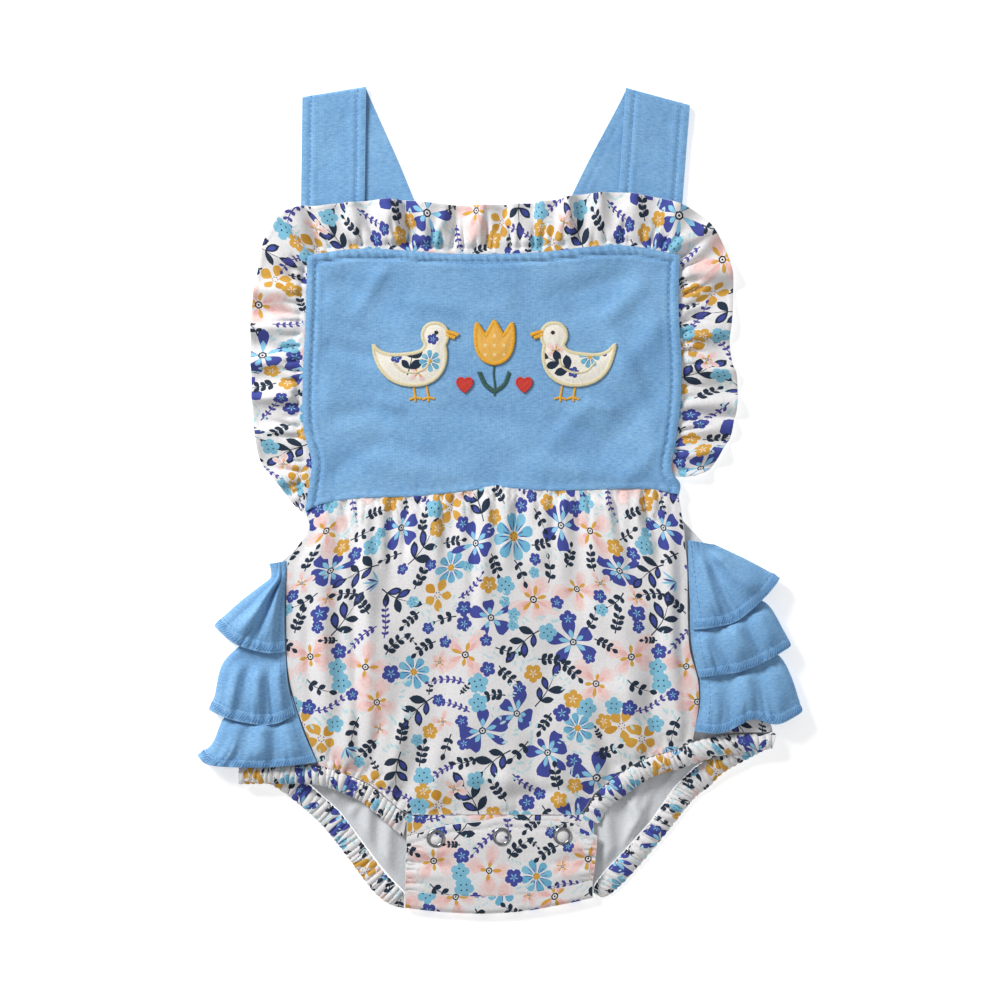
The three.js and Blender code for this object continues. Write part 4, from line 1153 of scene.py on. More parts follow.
def front_outline():
    top = WAIST_LINE + (0, UNDERLAP)
    right = FRONT_SIDES["right"][1:-1] - (SEAM, 0)
    left = FRONT_SIDES["left"][1:-1][::-1] + (SEAM, 0)
    return np.concatenate([top, right, FRONT_HEM_LINE[::-1], left])[::-1]


WAIST_FULLNESS = 1.25


def into_waist(shape):
    """The print is squeezed towards the waist, where the cut panel is wider than the seam."""
    narrow = WAIST_FULLNESS - (WAIST_FULLNESS - 1) * ease(0, 70, -shape[:, 1])
    return np.stack([shape[:, 0] / narrow, shape[:, 1]], -1)


front_print = print_for((-145, -172), (135, 10), (260, 190), into_waist)
front = sew("front_cloth", front_outline(), front_place, (1.8, 1.8), floral_print, front_print,
            PRINTED, PLAIN, (3.0, 3.0))

# %% [markdown]
# The back lies on the table and is larger than the front. Its sides turn over at the outer folds and come
# back on top to the side seams, and its lower end turns up round the crotch. The flat piece is unrolled:
# a point past the fold line is carried round a half circle and back. The print is on the side that faces the
# table, and the plain reverse shows through the leg holes, with the soft folds that the elastic pulls.

# %% Back panel
# left x, left y, right x, right y, height of the cloth's middle
BACK_ROWS = np.array([
    [-101.5, -9.5, 94, -6.5, level(0)], [-105.3, -23, 103.4, -17, 1.2],
    [-118.3, -34.3, 110.6, -24.6, level(2)], [-124, -45.6, 114.6, -31.5, level(2)],
    [-126.9, -60.8, 119.4, -50, level(2)], [-130.1, -78.6, 128, -73.2, level(2)],
    [-133.4, -100.2, 135, -92.1, level(2)], [-136.6, -121.8, 141.5, -109.4, level(2)],
    [-139.3, -141.6, 146.8, -125, level(2)], [-112.3, -144.2, 125.8, -131.8, 3],
    [-98.3, -156.9, 105.1, -143.7, 1.4], [-85.9, -168.2, 93.4, -155.3, level(0)],
    [-75.1, -182.8, 81, -173.1, level(0)], [-64.3, -197.4, 69.7, -186, level(0)],
    [-57.8, -204.9, 57.2, -199, level(0)], [-51.3, -211.4, 50.8, -207.1, level(0)],
    [-50.8, -217.6, 49.7, -212.2, level(0)],
])
BACK_RADIUS = (level(4) - level(2)) / 2  # of the side folds
WRAPPED = {"left": (-34.3, -141.6), "right": (-24.6, -125)}  # y of the ends of the side folds
CROTCH_RADIUS = (level(3) - level(0)) / 2
CROTCH_RETURNED = 5  # mm of cloth past the crotch fold
CROTCH_SAG = 5.5  # how far the middle of that fold hangs below its ends
CROTCH_START, CROTCH_WIDTH = -50.8, 100.5
ROW_STEP = 1.6
SEAM_GAP = 1.5  # from the wrapped edge to the side seam
BACK_SIDES = {
    "left": (BACK_ROWS[::-1, 1], BACK_ROWS[::-1, 0], BACK_ROWS[::-1, 4]),
    "right": (BACK_ROWS[::-1, 3], BACK_ROWS[::-1, 2], BACK_ROWS[::-1, 4]),
}
# start x, start y, end x, end y, rise, half width
BACK_FOLDS = [
    [-84, -198, -92, -140, 2.6, 3.2], [-78, -204, -106, -142, 1.6, 2.6], [-72, -208, -70, -142, 3.0, 3.6],
    [-62, -208, -58, -150, 2.6, 3.8], [-98, -172, -112, -140, 1.8, 3.4], [-90, -182, -66, -150, 1.4, 2.6],
    [60, -202, 56, -150, 2.6, 3.8], [64, -200, 84, -150, 2.0, 2.8], [70, -196, 76, -138, 2.6, 3.4],
    [78, -186, 100, -136, 2.0, 3.2], [90, -174, 118, -132, 1.8, 3.2], [84, -184, 62, -152, 1.4, 2.6],
    [-20, -12, -24, -90, 0.8, 6], [22, -12, 26, -80, 0.8, 6], [-60, -12, -66, -100, 0.7, 6],
    [60, -12, 66, -90, 0.7, 6],
]


def back_edge(side, y):
    heights, edges, levels = BACK_SIDES[side]
    return np.interp(y, heights, edges), np.interp(y, heights, levels)


def seam_across(side, y):
    seam = FRONT_SIDES[side][::-1]
    return np.interp(y, seam[:, 1], seam[:, 0])


def back_place(a, b):
    """`a` runs across the unrolled cloth, `b` down it; past the crotch line `b` turns up."""
    end_left, end_right = BACK_ROWS[-1, 1], BACK_ROWS[-1, 3]
    line_end = lerp(end_left, end_right, np.clip((a - CROTCH_START) / CROTCH_WIDTH, 0, 1))
    past = np.maximum(line_end - b, 0)
    y = np.maximum(b, line_end)
    left_x, left_z = back_edge("left", y)
    right_x, right_z = back_edge("right", y)
    share = np.clip((a - left_x) / (right_x - left_x), 0, 1)
    z = lerp(left_z, right_z, share)
    x = a.copy()
    for side, edge, out in (("left", left_x, -1), ("right", right_x, 1)):
        high, low = WRAPPED[side]
        wraps = (y > low - 1) & (y < high + 1)
        beyond = out * (a - (edge - out * BACK_RADIUS))
        turning = wraps & (beyond > 0)
        angle = np.clip(beyond / BACK_RADIUS, 0, np.pi)
        returned = np.maximum(beyond - np.pi * BACK_RADIUS, 0)
        turned_x = edge - out * BACK_RADIUS + out * (BACK_RADIUS * np.sin(angle) - returned)
        x = np.where(turning, turned_x, x)
        z = np.where(turning, z + BACK_RADIUS * (1 - np.cos(angle)), z)
    sag = CROTCH_SAG * np.sin(np.pi * share) * ease(-186, -213, y)
    angle = np.clip(past / CROTCH_RADIUS, 0, np.pi)
    returned = np.maximum(past - np.pi * CROTCH_RADIUS, 0)
    y = np.where(past > 0, y - sag - CROTCH_RADIUS * np.sin(angle) + returned, y - sag)
    z = z + np.where(past > 0, CROTCH_RADIUS * (1 - np.cos(angle)), 0)
    flat = (past <= 0) & (np.abs(x - a) < 1e-6)
    folds = np.where(flat, np.maximum(fold_height(BACK_FOLDS, x, y), -0.2), 0)
    fade = ease(0, 8, np.minimum(a - left_x, right_x - a)) * ease(0, 10, b - line_end)
    return stack_up(x, y, z + folds * fade)


def back_side(side, start, end):
    """One side of the unrolled cut, from the waist down. Where it wraps, it reaches on to the side seam."""
    out = -1 if side == "left" else 1
    high, low = WRAPPED[side]
    above, beside = np.arange(start, high, -ROW_STEP), np.arange(high - ROW_STEP, low, -ROW_STEP)
    below = np.arange(low - ROW_STEP, end, -ROW_STEP)
    rows = np.concatenate([above, [high + 0.01, high], beside, [low, low - 0.01], below, [end]])
    edge, _ = back_edge(side, rows)
    back_to_seam = np.abs(edge - out * BACK_RADIUS - seam_across(side, rows)) - SEAM_GAP
    wrapped = (rows <= high) & (rows >= low)
    edge = edge + out * np.where(wrapped, np.pi * BACK_RADIUS - BACK_RADIUS + back_to_seam, 0)
    return np.stack([edge, rows], -1)


def back_outline():
    left = back_side("left", BACK_ROWS[0, 1], BACK_ROWS[-1, 1])
    right = back_side("right", BACK_ROWS[0, 3], BACK_ROWS[-1, 3])
    turn_up = np.pi * CROTCH_RADIUS + CROTCH_RETURNED + 2
    down = np.linspace(0, turn_up, 9)[1:-1, None] * (0, 1)
    bottom = lerp(left[-1], right[-1], np.linspace(0, 1, 60)[:, None]) - (0, turn_up)
    top = lerp(right[0], left[0], np.linspace(0, 1, 110)[1:-1, None])
    return np.concatenate([left, left[-1] - down, bottom, right[-1] - down[::-1], right[::-1], top])


back_print = print_for((-190, -236), (190, -6), (40, 330))
back = sew("back_cloth", back_outline(), back_place, (2.6, 2.0), floral_print, back_print,
           PLAIN, PRINTED)

# %% [markdown]
# Each leg hole is edged with an elastic casing: a folded strip of the print, drawn up into fine gathers.
# It runs along the front of the hole, turns round at the side and comes back along the back panel.

# %% Leg bands
# inner x, inner y, free x, free y, height of the cloth's middle
LEG_BANDS = {
    "leg_band_left": {
        "front": [
            [-50, -170.6, -52.4, -181.7, 3.6], [-54.8, -167.2, -59, -175.5, 3.9],
            [-62.3, -160.9, -66.4, -169, 4.4], [-70.7, -154, -74.5, -162.3, 5],
            [-83.9, -148.1, -85.9, -156.9, 5.8], [-97.8, -143.6, -98.3, -153.1, 6.5],
            [-113.4, -143.4, -113.4, -152.3, 6.6], [-138.3, -143.4, -138.3, -152.5, 6.6],
        ],
        "back": [
            [-138.3, -143.4, -138.3, -152.5, 3.6], [-121, -143.7, -125.3, -152.6, 3.4],
            [-110.5, -147.8, -116.6, -157.4, 2.4], [-99.6, -157.6, -105.8, -166, 1.2],
            [-87, -169, -95, -176.3, 0.6], [-76.1, -183.6, -84.2, -189.8, 0.6],
            [-65.4, -198.3, -73.4, -204.4, 0.6], [-58.6, -206, -66.2, -213, 0.6],
            [-52.6, -211.9, -58.9, -218.2, 0.6], [-51.9, -214, -51.9, -220.3, 0.6],
        ],
        "outward": -1,
        "seed": 21,
    },
    "leg_band_right": {
        "front": [
            [45.4, -170, 53.1, -174.7, 3.6], [49.4, -163.6, 57, -167.1, 3.8],
            [53.2, -157.7, 61, -163.3, 4.2], [61.5, -150.6, 68, -158, 4.9],
            [74, -142.3, 78.8, -150.4, 5.7], [82.6, -138.5, 86.4, -147.1, 6.2],
            [94.9, -135.1, 98.5, -143.7, 6.6], [104.7, -130.6, 111.2, -139, 6.6],
            [123, -127, 129.6, -135.5, 6.6], [146.3, -126.5, 144.8, -133.5, 6.6],
        ],
        "back": [
            [146.3, -126.5, 144.8, -133.5, 3.6], [127, -132.4, 133, -139.5, 3.3],
            [115.3, -138.6, 119.9, -147.1, 2.4], [105.9, -144.7, 112.6, -154.5, 1.4],
            [94.5, -156, 104.3, -161.2, 0.6], [82.1, -173.9, 91.3, -177.4, 0.6],
            [70.7, -186.8, 79.4, -192, 0.6], [58.3, -199.8, 67.5, -205.2, 0.6],
            [51.8, -207.9, 59.4, -212.5, 0.6], [50.7, -212.2, 55, -214.6, 0.6],
        ],
        "outward": 1,
        "seed": 34,
    },
}
BAND_WIDTH = 9.6
BAND_GATHER = 3.1  # mm of band for each gather
BAND_FULLNESS = 1.7


def band_strip(band):
    front, back, outward = band["front"], band["back"], band["outward"]
    start = front[-1]
    turn = (start[4] - back[0][4]) / 2
    turned = []
    for degrees in (45, 90, 135):
        angle = math.radians(degrees)
        out = outward * turn * math.sin(angle)
        height = back[0][4] + turn * (1 + math.cos(angle))
        turned.append([start[0] + out, start[1], start[2] + out, start[3], height])
    return paced(front + turned + back, lambda p: np.concatenate([strip_middle(p), p[:, 4:5]], axis=1))


def band_place(band, strip):
    picks = random.Random(band["seed"])
    count = round(strip.length / BAND_GATHER)
    marks = np.cumsum([picks.uniform(0.6, 1.4) for _ in range(count + 1)])
    marks = marks / marks[-1] * strip.length
    rises = [picks.uniform(0.65, 1.5) for _ in range(count + 2)]
    leans = [picks.uniform(-1.6, 1.6) for _ in range(count + 2)]

    def place(a, b):
        u, v = a / strip.length, b / BAND_WIDTH
        rows = strip(u)
        lean = np.interp(a, marks, leans[: count + 1]) * (v - 0.5)
        phase = np.interp(a + lean, marks, np.arange(count + 1.0))
        rise = np.interp(a, marks, rises[: count + 1])
        ends = ease(0, 0.03, u) * ease(0, 0.03, 1 - u)
        gathers = np.abs(np.sin(np.pi * phase))
        across = np.sin(np.pi * np.clip(v, 0, 1))
        flattened = 0.2 + 0.8 * ease(0, 0.04, u) * ease(0, 0.04, 1 - u)  # its ends are sewn down
        bulge = 1.5 * flattened * across**0.7
        scallop = 0.55 * (gathers - 0.5) * (ease(0.6, 1, v) - ease(0.6, 1, 1 - v)) * ends
        width = np.hypot(rows[:, 2] - rows[:, 0], rows[:, 3] - rows[:, 1])
        reach = v + scallop / width
        x = lerp(rows[:, 0], rows[:, 2], reach)
        y = lerp(rows[:, 1], rows[:, 3], reach)
        wave = rise * gathers**0.8 * (0.35 + 0.65 * across)
        return stack_up(x, y, np.maximum(rows[:, 4], level(0)) + bulge + ends * wave)

    return place


bands = {}
band_strips = {}
band_places = {}
for number, (name, band) in enumerate(LEG_BANDS.items()):
    strip = band_strips[name] = band_strip(band)
    band_places[name] = band_place(band, strip)
    band_cut = (strip.length * BAND_FULLNESS, BAND_WIDTH)
    motifs = print_for((0, 0), band_cut, (70 * number + 9, 55), gathered(BAND_FULLNESS))
    bands[name] = sew(f"{name}_cloth", rectangle(strip.length, BAND_WIDTH, 0.7, 0.9), band_places[name],
                      (0.7, 0.9), floral_print, motifs, PRINTED, PRINTED)
    print(name, "runs", round(strip.length), "mm round its hole")

# %% [markdown]
# Three blue ruffles cross the seat one above another. Seen from the front only their ends show: each comes
# over the side fold and back to the side seam, where it is gathered at its top and flares to its hem.
# The flat strip is measured in three stretches: on top at each side, round the fold, and underneath.

# %% Seat tiers
# from the left seam and down from the gathers: start, end, rise, half width
HIDDEN_TIER_FOLDS = [
    [100, 4, 96, 40, 1.4, 9], [126, 6, 130, 40, -1.0, 8], [152, 6, 158, 40, 1.5, 9],
    [180, 6, 176, 40, -1.0, 8], [210, 4, 206, 40, 1.4, 9], [238, 6, 242, 40, -1.0, 8],
    [264, 6, 268, 40, 1.4, 9],
]
# The points of each side run down the seam, down the fold, and along the hem from the fold to the seam.
# "droop" is how far the strip hangs in the middle of the back, and "covered" how much of its depth lies
# under the tier above, where it stays flat.
TIERS = {
    "tier_1": {
        "left": {
            "seam": [[-114.8, -33.2], [-115.9, -57], [-115.7, -81.6]],
            "fold": [
                [-123.8, -34.8], [-122.9, -38.4], [-123.3, -42.4], [-128, -46.2], [-138.5, -54.3],
                [-146.2, -61], [-153.4, -67.8],
            ],
            "hem": [[-143.3, -76.4], [-133.7, -80.2], [-124, -82.2]],
        },
        "right": {
            "seam": [[101.2, -22], [101.9, -48.9], [103.4, -69.8]],
            "fold": [[115.6, -24.6], [133.4, -33], [150.3, -42.2]],
            "hem": [[143.1, -50.9], [127.7, -64.6], [114.2, -68.3]],
        },
        "droop": 14,
        "covered": 0,
        "seed": 0.4,
        "folds": [
            [14, 10, 14, 46, 3.4, 6], [33, 6, 37, 46, 5.0, 7],
            [333, 8, 330, 46, 4.8, 7], [354, 10, 357, 46, 3.6, 6],
        ],
    },
    "tier_2": {
        "left": {
            "seam": [[-115.8, -71.6], [-114.3, -97], [-110.2, -115]],
            "fold": [[-133, -73.7], [-148.4, -87.6], [-153.4, -106.1], [-156.4, -112.8]],
            "hem": [[-143.3, -118], [-128.8, -120.5], [-119.2, -119.8]],
        },
        "right": {
            "seam": [[102.2, -59.7], [103.2, -78.6], [106.9, -95.4]],
            "fold": [[128.5, -52.1], [143, -56], [152.4, -70.7], [156.2, -78.6]],
            "hem": [[143.1, -86.1], [128.1, -92.3], [118, -93.7]],
        },
        "droop": 7,
        "covered": 15,
        "seed": 1.9,
        "folds": [
            [8, 8, 7, 46, 2.8, 5], [23, 4, 24, 46, 5.4, 6], [39, 14, 43, 46, 3.6, 5.5],
            [328, 12, 325, 46, 3.4, 5.5], [344, 4, 343, 46, 5.4, 6.4], [361, 8, 363, 46, 2.8, 5],
        ],
    },
    "tier_3": {
        "left": {
            "seam": [[-112, -105.6], [-106, -124], [-98.6, -140.9]],
            "fold": [[-136.6, -106.6], [-148.1, -117.5], [-154.6, -131.5], [-162.4, -137.4]],
            "hem": [[-156.5, -142], [-138.5, -143.4], [-119.2, -143]],
        },
        "right": {
            "seam": [[106.9, -85.6], [107.8, -108.3], [104.6, -124.4]],
            "fold": [[138.8, -80.2], [149.6, -84], [156.4, -95.3], [162.3, -113.9]],
            "hem": [[149, -120.3], [136, -117.5], [128.5, -120.7], [119, -125]],
        },
        "droop": 4,
        "covered": 14,
        "seed": 3.3,
        "folds": [
            [10, 10, 9, 46, 3.0, 5], [25, 6, 26, 46, 5.2, 6], [40, 10, 43, 46, 2.6, 5.6],
            [329, 10, 326, 46, 2.6, 5.6], [345, 6, 344, 46, 3.4, 6], [361, 10, 363, 46, 1.8, 5],
        ],
    },
}
# mm along the strip, and the same places in columns: seam, start and end of the fold, and back again
TIER_MARKS = [0, 48, 60, 310, 322, 370]
TIER_SHARES = [0, 8, 12, 24, 28, 36]
TIER_TOP, TIER_TURN, TIER_UNDER = 8, 4, 12  # columns on top, round the fold and underneath
TIER_LENGTH = TIER_MARKS[-1]
TIER_DEPTH = 46
TIER_RISE = 1.5
HIDDEN_SHARE = 0.35  # of the creases, on the part underneath
HEM_BAND = 5.2  # the overlocked edge


def patch_between(top, bottom, left, right):
    """A surface that is spanned by four curves, which share their ends."""

    def patch(u, v):
        across, down = u[:, None], v[:, None]
        corners = lerp(lerp(top(0), top(1), across), lerp(bottom(0), bottom(1), across), down)
        return lerp(top(u), bottom(u), down) + lerp(left(v), right(v), across) - corners

    return patch


def by_side(is_left, points):
    return np.where(is_left[:, None], points["left"], points["right"])


def tier_place(tier_rows):
    tops = {}
    for side in ("left", "right"):
        inner, outer, hem = (tier_rows[side][line] for line in ("seam", "fold", "hem"))
        top, bottom = paced([inner[0], outer[0]]), paced([inner[-1], *hem[::-1], outer[-1]])
        tops[side] = patch_between(top, bottom, paced(inner), paced(outer))

    def place(a, b):
        across = np.interp(a, TIER_MARKS, TIER_SHARES)
        v = b / TIER_DEPTH
        columns = TIER_SHARES[-1]
        near = np.minimum(across, columns - across)
        is_left = across < columns / 2
        fall = ease(0.3, 0.62, v)
        above = level(5) + LAYER * fall
        below = level(1) - LAYER * fall
        radius = (above - below) / 2
        starts, folds, flat_shares = {}, {}, {}
        for side, top in tops.items():
            folds[side] = top(0 * a + 1, v)
            flat_shares[side] = 1 - radius / np.linalg.norm(folds[side] - top(0 * a, v), axis=1)
            starts[side] = top(flat_shares[side], v)
        start, fold = by_side(is_left, starts), by_side(is_left, folds)
        t = np.clip(near / TIER_TOP, 0, 1)
        on_top = by_side(is_left, {side: tops[side](t * flat_shares[side], v) for side in tops})
        ends = ease(0, 0.2, t) * ease(0, 0.15, 1 - t)
        swing = np.where(is_left, gather(t, 3, tier_rows["seed"] - 1), gather(t, 3, tier_rows["seed"] + 1))
        opened = TIER_RISE * ease(0.45, 0.9, v) * ends * (1 + 0.3 * swing)
        angle = np.pi * np.clip((near - TIER_TOP) / TIER_TURN, 0, 1)
        turned = lerp(start, fold, np.sin(angle)[:, None])
        middle_share = np.clip((across - TIER_TOP - TIER_TURN) / TIER_UNDER, 0, 1)
        hang = tier_rows["droop"] * v * (1 - (2 * middle_share - 1) ** 4)
        under = lerp(starts["left"], starts["right"], middle_share[:, None]) - np.stack([0 * hang, hang], -1)
        flat = np.where((near < TIER_TOP + TIER_TURN)[:, None], turned, under)
        flat = np.where((near < TIER_TOP)[:, None], on_top, flat)
        z = np.where(near < TIER_TOP, above + opened, below + radius * (1 + np.cos(angle)))
        covered = tier_rows["covered"]
        shows = near < TIER_TOP + 1
        creases = fold_height(tier_rows["folds"] + HIDDEN_TIER_FOLDS, a, b) * (1 - 0.55 * ease(0.75, 1, v))
        creases *= np.where(shows, ease(covered, covered + 9, b), ease(0, 5, b))
        short = puckers(a, b, TIER_LENGTH, 70, 7, 0.7, round(tier_rows["seed"] * 10))
        from_seam = np.minimum(a, TIER_LENGTH - a)
        share = ease(0, 3, from_seam) * np.where(shows, 1.15, HIDDEN_SHARE)
        hem = 0.35 * ease(TIER_DEPTH - HEM_BAND - 0.5, TIER_DEPTH - HEM_BAND + 0.5, b)
        # at its side seam the tier dips under the front's edge
        dip = -0.9 * (1 - ease(0, 7, from_seam)) * (0.45 + 0.55 * fall)
        return stack_up(flat[:, 0], flat[:, 1], z + (creases + short) * share + hem + dip)

    return place


def upside_down(place):
    """The same place for a strip that is cut hem first, so that its right side is outside."""
    return lambda a, b: place(a, TIER_DEPTH - b)


tiers = {}
tier_places = {name: tier_place(rows) for name, rows in TIERS.items()}
for name, place in tier_places.items():
    outline = rectangle(TIER_LENGTH, TIER_DEPTH, 1.5, 1.5)
    tiers[name] = sew(f"{name}_cloth", outline, upside_down(place), (1.4, 1.4), blue_jersey)

# %% [markdown]
# At the crotch the back comes up and ends in a flap with three snaps. The flap overlaps a narrow strip that
# hangs from the front. The flap's sides are drawn in by the leg elastic, so short creases run in from them.

# %% Crotch flap and placket
END_LEFT, END_RIGHT = BACK_ROWS[-1, :2], BACK_ROWS[-1, 2:4]


def crotch_seam(t):
    t = np.asarray(t, float)
    straight = lerp(END_LEFT, END_RIGHT, t[..., None])
    rise = CROTCH_RETURNED + 2 * SEAM - CROTCH_SAG * np.sin(np.pi * t)
    return straight + np.stack([0 * rise, rise], -1)


FLAP_TOP = paced([
    [-50, -181.7], [-34.6, -176.8], [-21.9, -174.5], [-9.2, -173.3], [0.5, -171],
    [11.9, -173], [36.2, -173.6], [43.2, -176.8], [52.3, -181.2],
])
FLAP_LEFT = paced([[-50, -181.7], [-50.6, -197], list(crotch_seam(0))])
FLAP_RIGHT = paced([[52.3, -181.2], [51.4, -192], list(crotch_seam(1))])
FLAP_BOTTOM = paced([list(crotch_seam(t)) for t in np.linspace(0, 1, 9)])
FLAP = {"top": FLAP_TOP, "left": FLAP_LEFT, "right": FLAP_RIGHT, "bottom": FLAP_BOTTOM}
FLAP_LINES = {side: line_along(curve, EDGE_STEP) for side, curve in FLAP.items()}
SNAP_PLACES = {"snap_1": (-34.6, -182.3), "snap_2": (0.8, -181.3), "snap_3": (33.6, -181)}
# start x, start y, end x, end y, rise, half width
FLAP_FOLDS = [
    [-48, -188, -24, -190, 0.7, 2.4], [-49, -194, -20, -198, -0.7, 2.4], [-49, -201, -26, -203, 0.7, 2.6],
    [50, -187, 26, -188, 0.7, 2.4], [50, -193, 24, -196, -0.7, 2.4], [50, -200, 28, -203, 0.7, 2.6],
    [-20, -184, 20, -186, 0.4, 4], [-16, -196, 26, -199, -0.35, 4],
]


def flap_place(x, y):
    from_top = to_edge(x, y, FLAP_LINES["top"])[0]
    from_bottom = to_edge(x, y, FLAP_LINES["bottom"])[0]
    left, left_along = to_edge(x, y, FLAP_LINES["left"])
    right, right_along = to_edge(x, y, FLAP_LINES["right"])
    edge = 0.35 * ridge(from_top, 1.6, 1.5) - 0.3 * ridge(from_top, 4, 0.8)
    drawn = puckers(left_along, left, FLAP_LEFT.length, 9, 15, 1.1, 4)
    drawn += puckers(right_along, right, FLAP_RIGHT.length, 8, 15, 1.1, 6)
    crease = -0.8 * (1 - ease(0, 2.2, from_bottom))
    domes = np.zeros(len(x))
    for snap_x, snap_y in SNAP_PLACES.values():
        reach = np.hypot(x - snap_x, y - snap_y)
        domes += 0.55 * (1 - ease(1.4, 3.4, reach)) - 0.35 * ridge(reach, 4.2, 1.1)
    folds = fold_height(FLAP_FOLDS, x, y) * ease(0, 4, from_top)
    swell = 0.5 * ease(0, 8, np.minimum(from_top, from_bottom))
    return stack_up(x, y, level(3) + edge + drawn * ease(1, 5, from_top) + crease + domes + folds + swell)


flap_sides = [FLAP_LINES["top"], FLAP_LINES["right"], FLAP_LINES["bottom"][::-1], FLAP_LINES["left"][::-1]]
flap_outline = np.concatenate([side[:-1] for side in flap_sides])[::-1]
flap_print = print_for((-55, -214), (57, -168), (22, 140))
flap = sew("crotch_flap_cloth", flap_outline, flap_place, (1.2, 1.2), floral_print, flap_print,
           PRINTED, PLAIN)

PLACKET = {"left": -50, "right": 50.4, "top": -168.6, "bottom": -189}


def placket_place(a, b):
    x = a + PLACKET["left"]
    y = b + PLACKET["bottom"]
    height = level(2) + 0.25 * gather(a / 90, 7, 0.4) - 0.6 * ease(-171, -169, y)
    return stack_up(x, y, height)


placket_size = (PLACKET["right"] - PLACKET["left"], PLACKET["top"] - PLACKET["bottom"])
placket_print = print_for((0, 0), placket_size, (150, 60))
placket = sew("placket_cloth", rectangle(*placket_size, 1.5, 1.5), placket_place, (1.6, 1.6), floral_print,
              placket_print, PRINTED, PLAIN)

# %% [markdown]
# A ring snap is an open ring of bent metal pressed through the cloth, so its middle shows cloth. Spinning a
# round profile about an axis makes the ring. It is flatter below, where its rim bites into the cloth.

# %% Ring snaps
RING_RADIUS = 4.1
RING_WIRE = 0.85
RING_TURNS = 56
RING_SIDES = 14
RING_ABOVE, RING_BELOW = 0.95, 0.7  # height of its two halves, as shares of the wire's radius
RING_SEAT = 0.55  # share of that radius that stands above the cloth


def ring_points(x, y, z):
    around = np.linspace(0, TURN, RING_TURNS, endpoint=False)
    section = np.linspace(0, TURN, RING_SIDES, endpoint=False)
    reach = RING_RADIUS + RING_WIRE * np.cos(section)
    rise = RING_WIRE * np.where(np.sin(section) > 0, RING_ABOVE, RING_BELOW) * np.sin(section)
    points = [(x + r * np.cos(t), y + r * np.sin(t), z + h) for t in around for r, h in zip(reach, rise)]
    faces = []
    for i in range(RING_TURNS):
        here, onward = i * RING_SIDES, (i + 1) % RING_TURNS * RING_SIDES
        for j in range(RING_SIDES):
            following = (j + 1) % RING_SIDES
            faces.append((here + j, onward + j, onward + following, here + following))
    return points, faces


snaps = {}
for name, (x, y) in SNAP_PLACES.items():
    seat = flap_place(np.array([x + RING_RADIUS]), np.array([y]))[0, 2] + SHELL / 2
    snaps[name] = new_object(f"{name}_ring", *ring_points(x, y, seat + RING_WIRE * RING_SEAT), snap_metal)
print(len(snaps), "rings of", RING_TURNS, "turns")

# %% [markdown]
# The applique is cut from plain cotton and lies on the bib: two ducks, a tulip between them and two small
# hearts. Each patch follows the rumples of the bib, a little above it, and swells slightly in its middle.

# %% Applique patches
PATCH_LIFT = 0.55  # above the bib
PATCH_SWELL = 0.45
DUCK_SCALE = 0.9


def bezier(points, steps=9):
    """A closed outline from a start point and rows of two handles and an end."""
    outline = []
    start = np.array(points[0], float)
    for row in points[1:]:
        row = np.array(row, float)
        if len(row) == 2:
            outline.append(start[None])
            start = row
            continue
        first, second, end = row[:2], row[2:4], row[4:]
        t = np.linspace(0, 1, steps + 1)[:-1, None]
        s = 1 - t
        outline.append(s**3 * start + 3 * s**2 * t * first + 3 * s * t**2 * second + t**3 * end)
        start = end
    return np.concatenate(outline)


DUCK = [
    (-1, 0.42), (-0.8, 0.1, -0.45, 0.16, -0.1, 0.2), (0.12, 0.22, 0.26, 0.3, 0.28, 0.44),
    (0.12, 0.62, 0.2, 0.95, 0.5, 0.95), (0.8, 0.95, 0.88, 0.62, 0.72, 0.42),
    (0.84, 0.05, 0.7, -0.5, 0.1, -0.56), (-0.6, -0.62, -0.95, -0.2, -1, 0.42),
]
TULIP = [
    (0, -0.9), (0.75, -0.85, 0.95, -0.1, 0.8, 0.9), (0.4, 0.3), (0, 1), (-0.4, 0.3), (-0.8, 0.9),
    (-0.95, -0.1, -0.75, -0.85, 0, -0.9),
]
HEART = [
    (0, -1), (0.55, -0.55, 1.05, -0.1, 0.95, 0.4), (0.8, 0.95, 0.2, 0.95, 0, 0.4),
    (-0.2, 0.95, -0.8, 0.95, -0.95, 0.4), (-1.05, -0.1, -0.55, -0.55, 0, -1),
]
CREAM, GOLD, RED = "#F6F1E6", "#EDB75A", "#CF4238"
# outline, ground colour, middle x, middle y, size, facing
PATCHES = {
    "duck_left": (DUCK, CREAM, -46, 74, 22, 1),
    "duck_right": (DUCK, CREAM, 40, 74, 22, -1),
    "tulip": (TULIP, GOLD, -3, 84, 12, 1),
    "heart_left": (HEART, RED, -19, 62, 4.2, 1),
    "heart_right": (HEART, RED, 13, 62, 4.2, 1),
}


def on_patch(name, points):
    """Points of a patch's own drawing, in mm on the bib."""
    _, _, x, y, size, facing = PATCHES[name]
    return np.array(points, float) * (size * facing, size) + (x, y)


def patch_outline(name):
    outline = on_patch(name, bezier(PATCHES[name][0]))
    return outline if PATCHES[name][-1] > 0 else outline[::-1]


def closed_line(outline):
    return np.vstack([outline, outline[:1]])


def densely(outline, spacing):
    """The same closed outline with a point at least every `spacing` mm."""
    filled = []
    for start, end in zip(outline, np.roll(outline, -1, axis=0)):
        count = max(1, math.ceil(np.linalg.norm(end - start) / spacing))
        filled.append(lerp(start, end, np.arange(count)[:, None] / count))
    return np.concatenate(filled)


def patch_place(outline, lift):
    def place(x, y):
        from_edge = to_edge(x, y, closed_line(outline))[0]
        height = bib_place(x, y)[:, 2] + SHELL / 2 + lift + PATCH_SWELL * ease(0, 5, from_edge)
        return np.stack([x, y, height], -1)

    return place


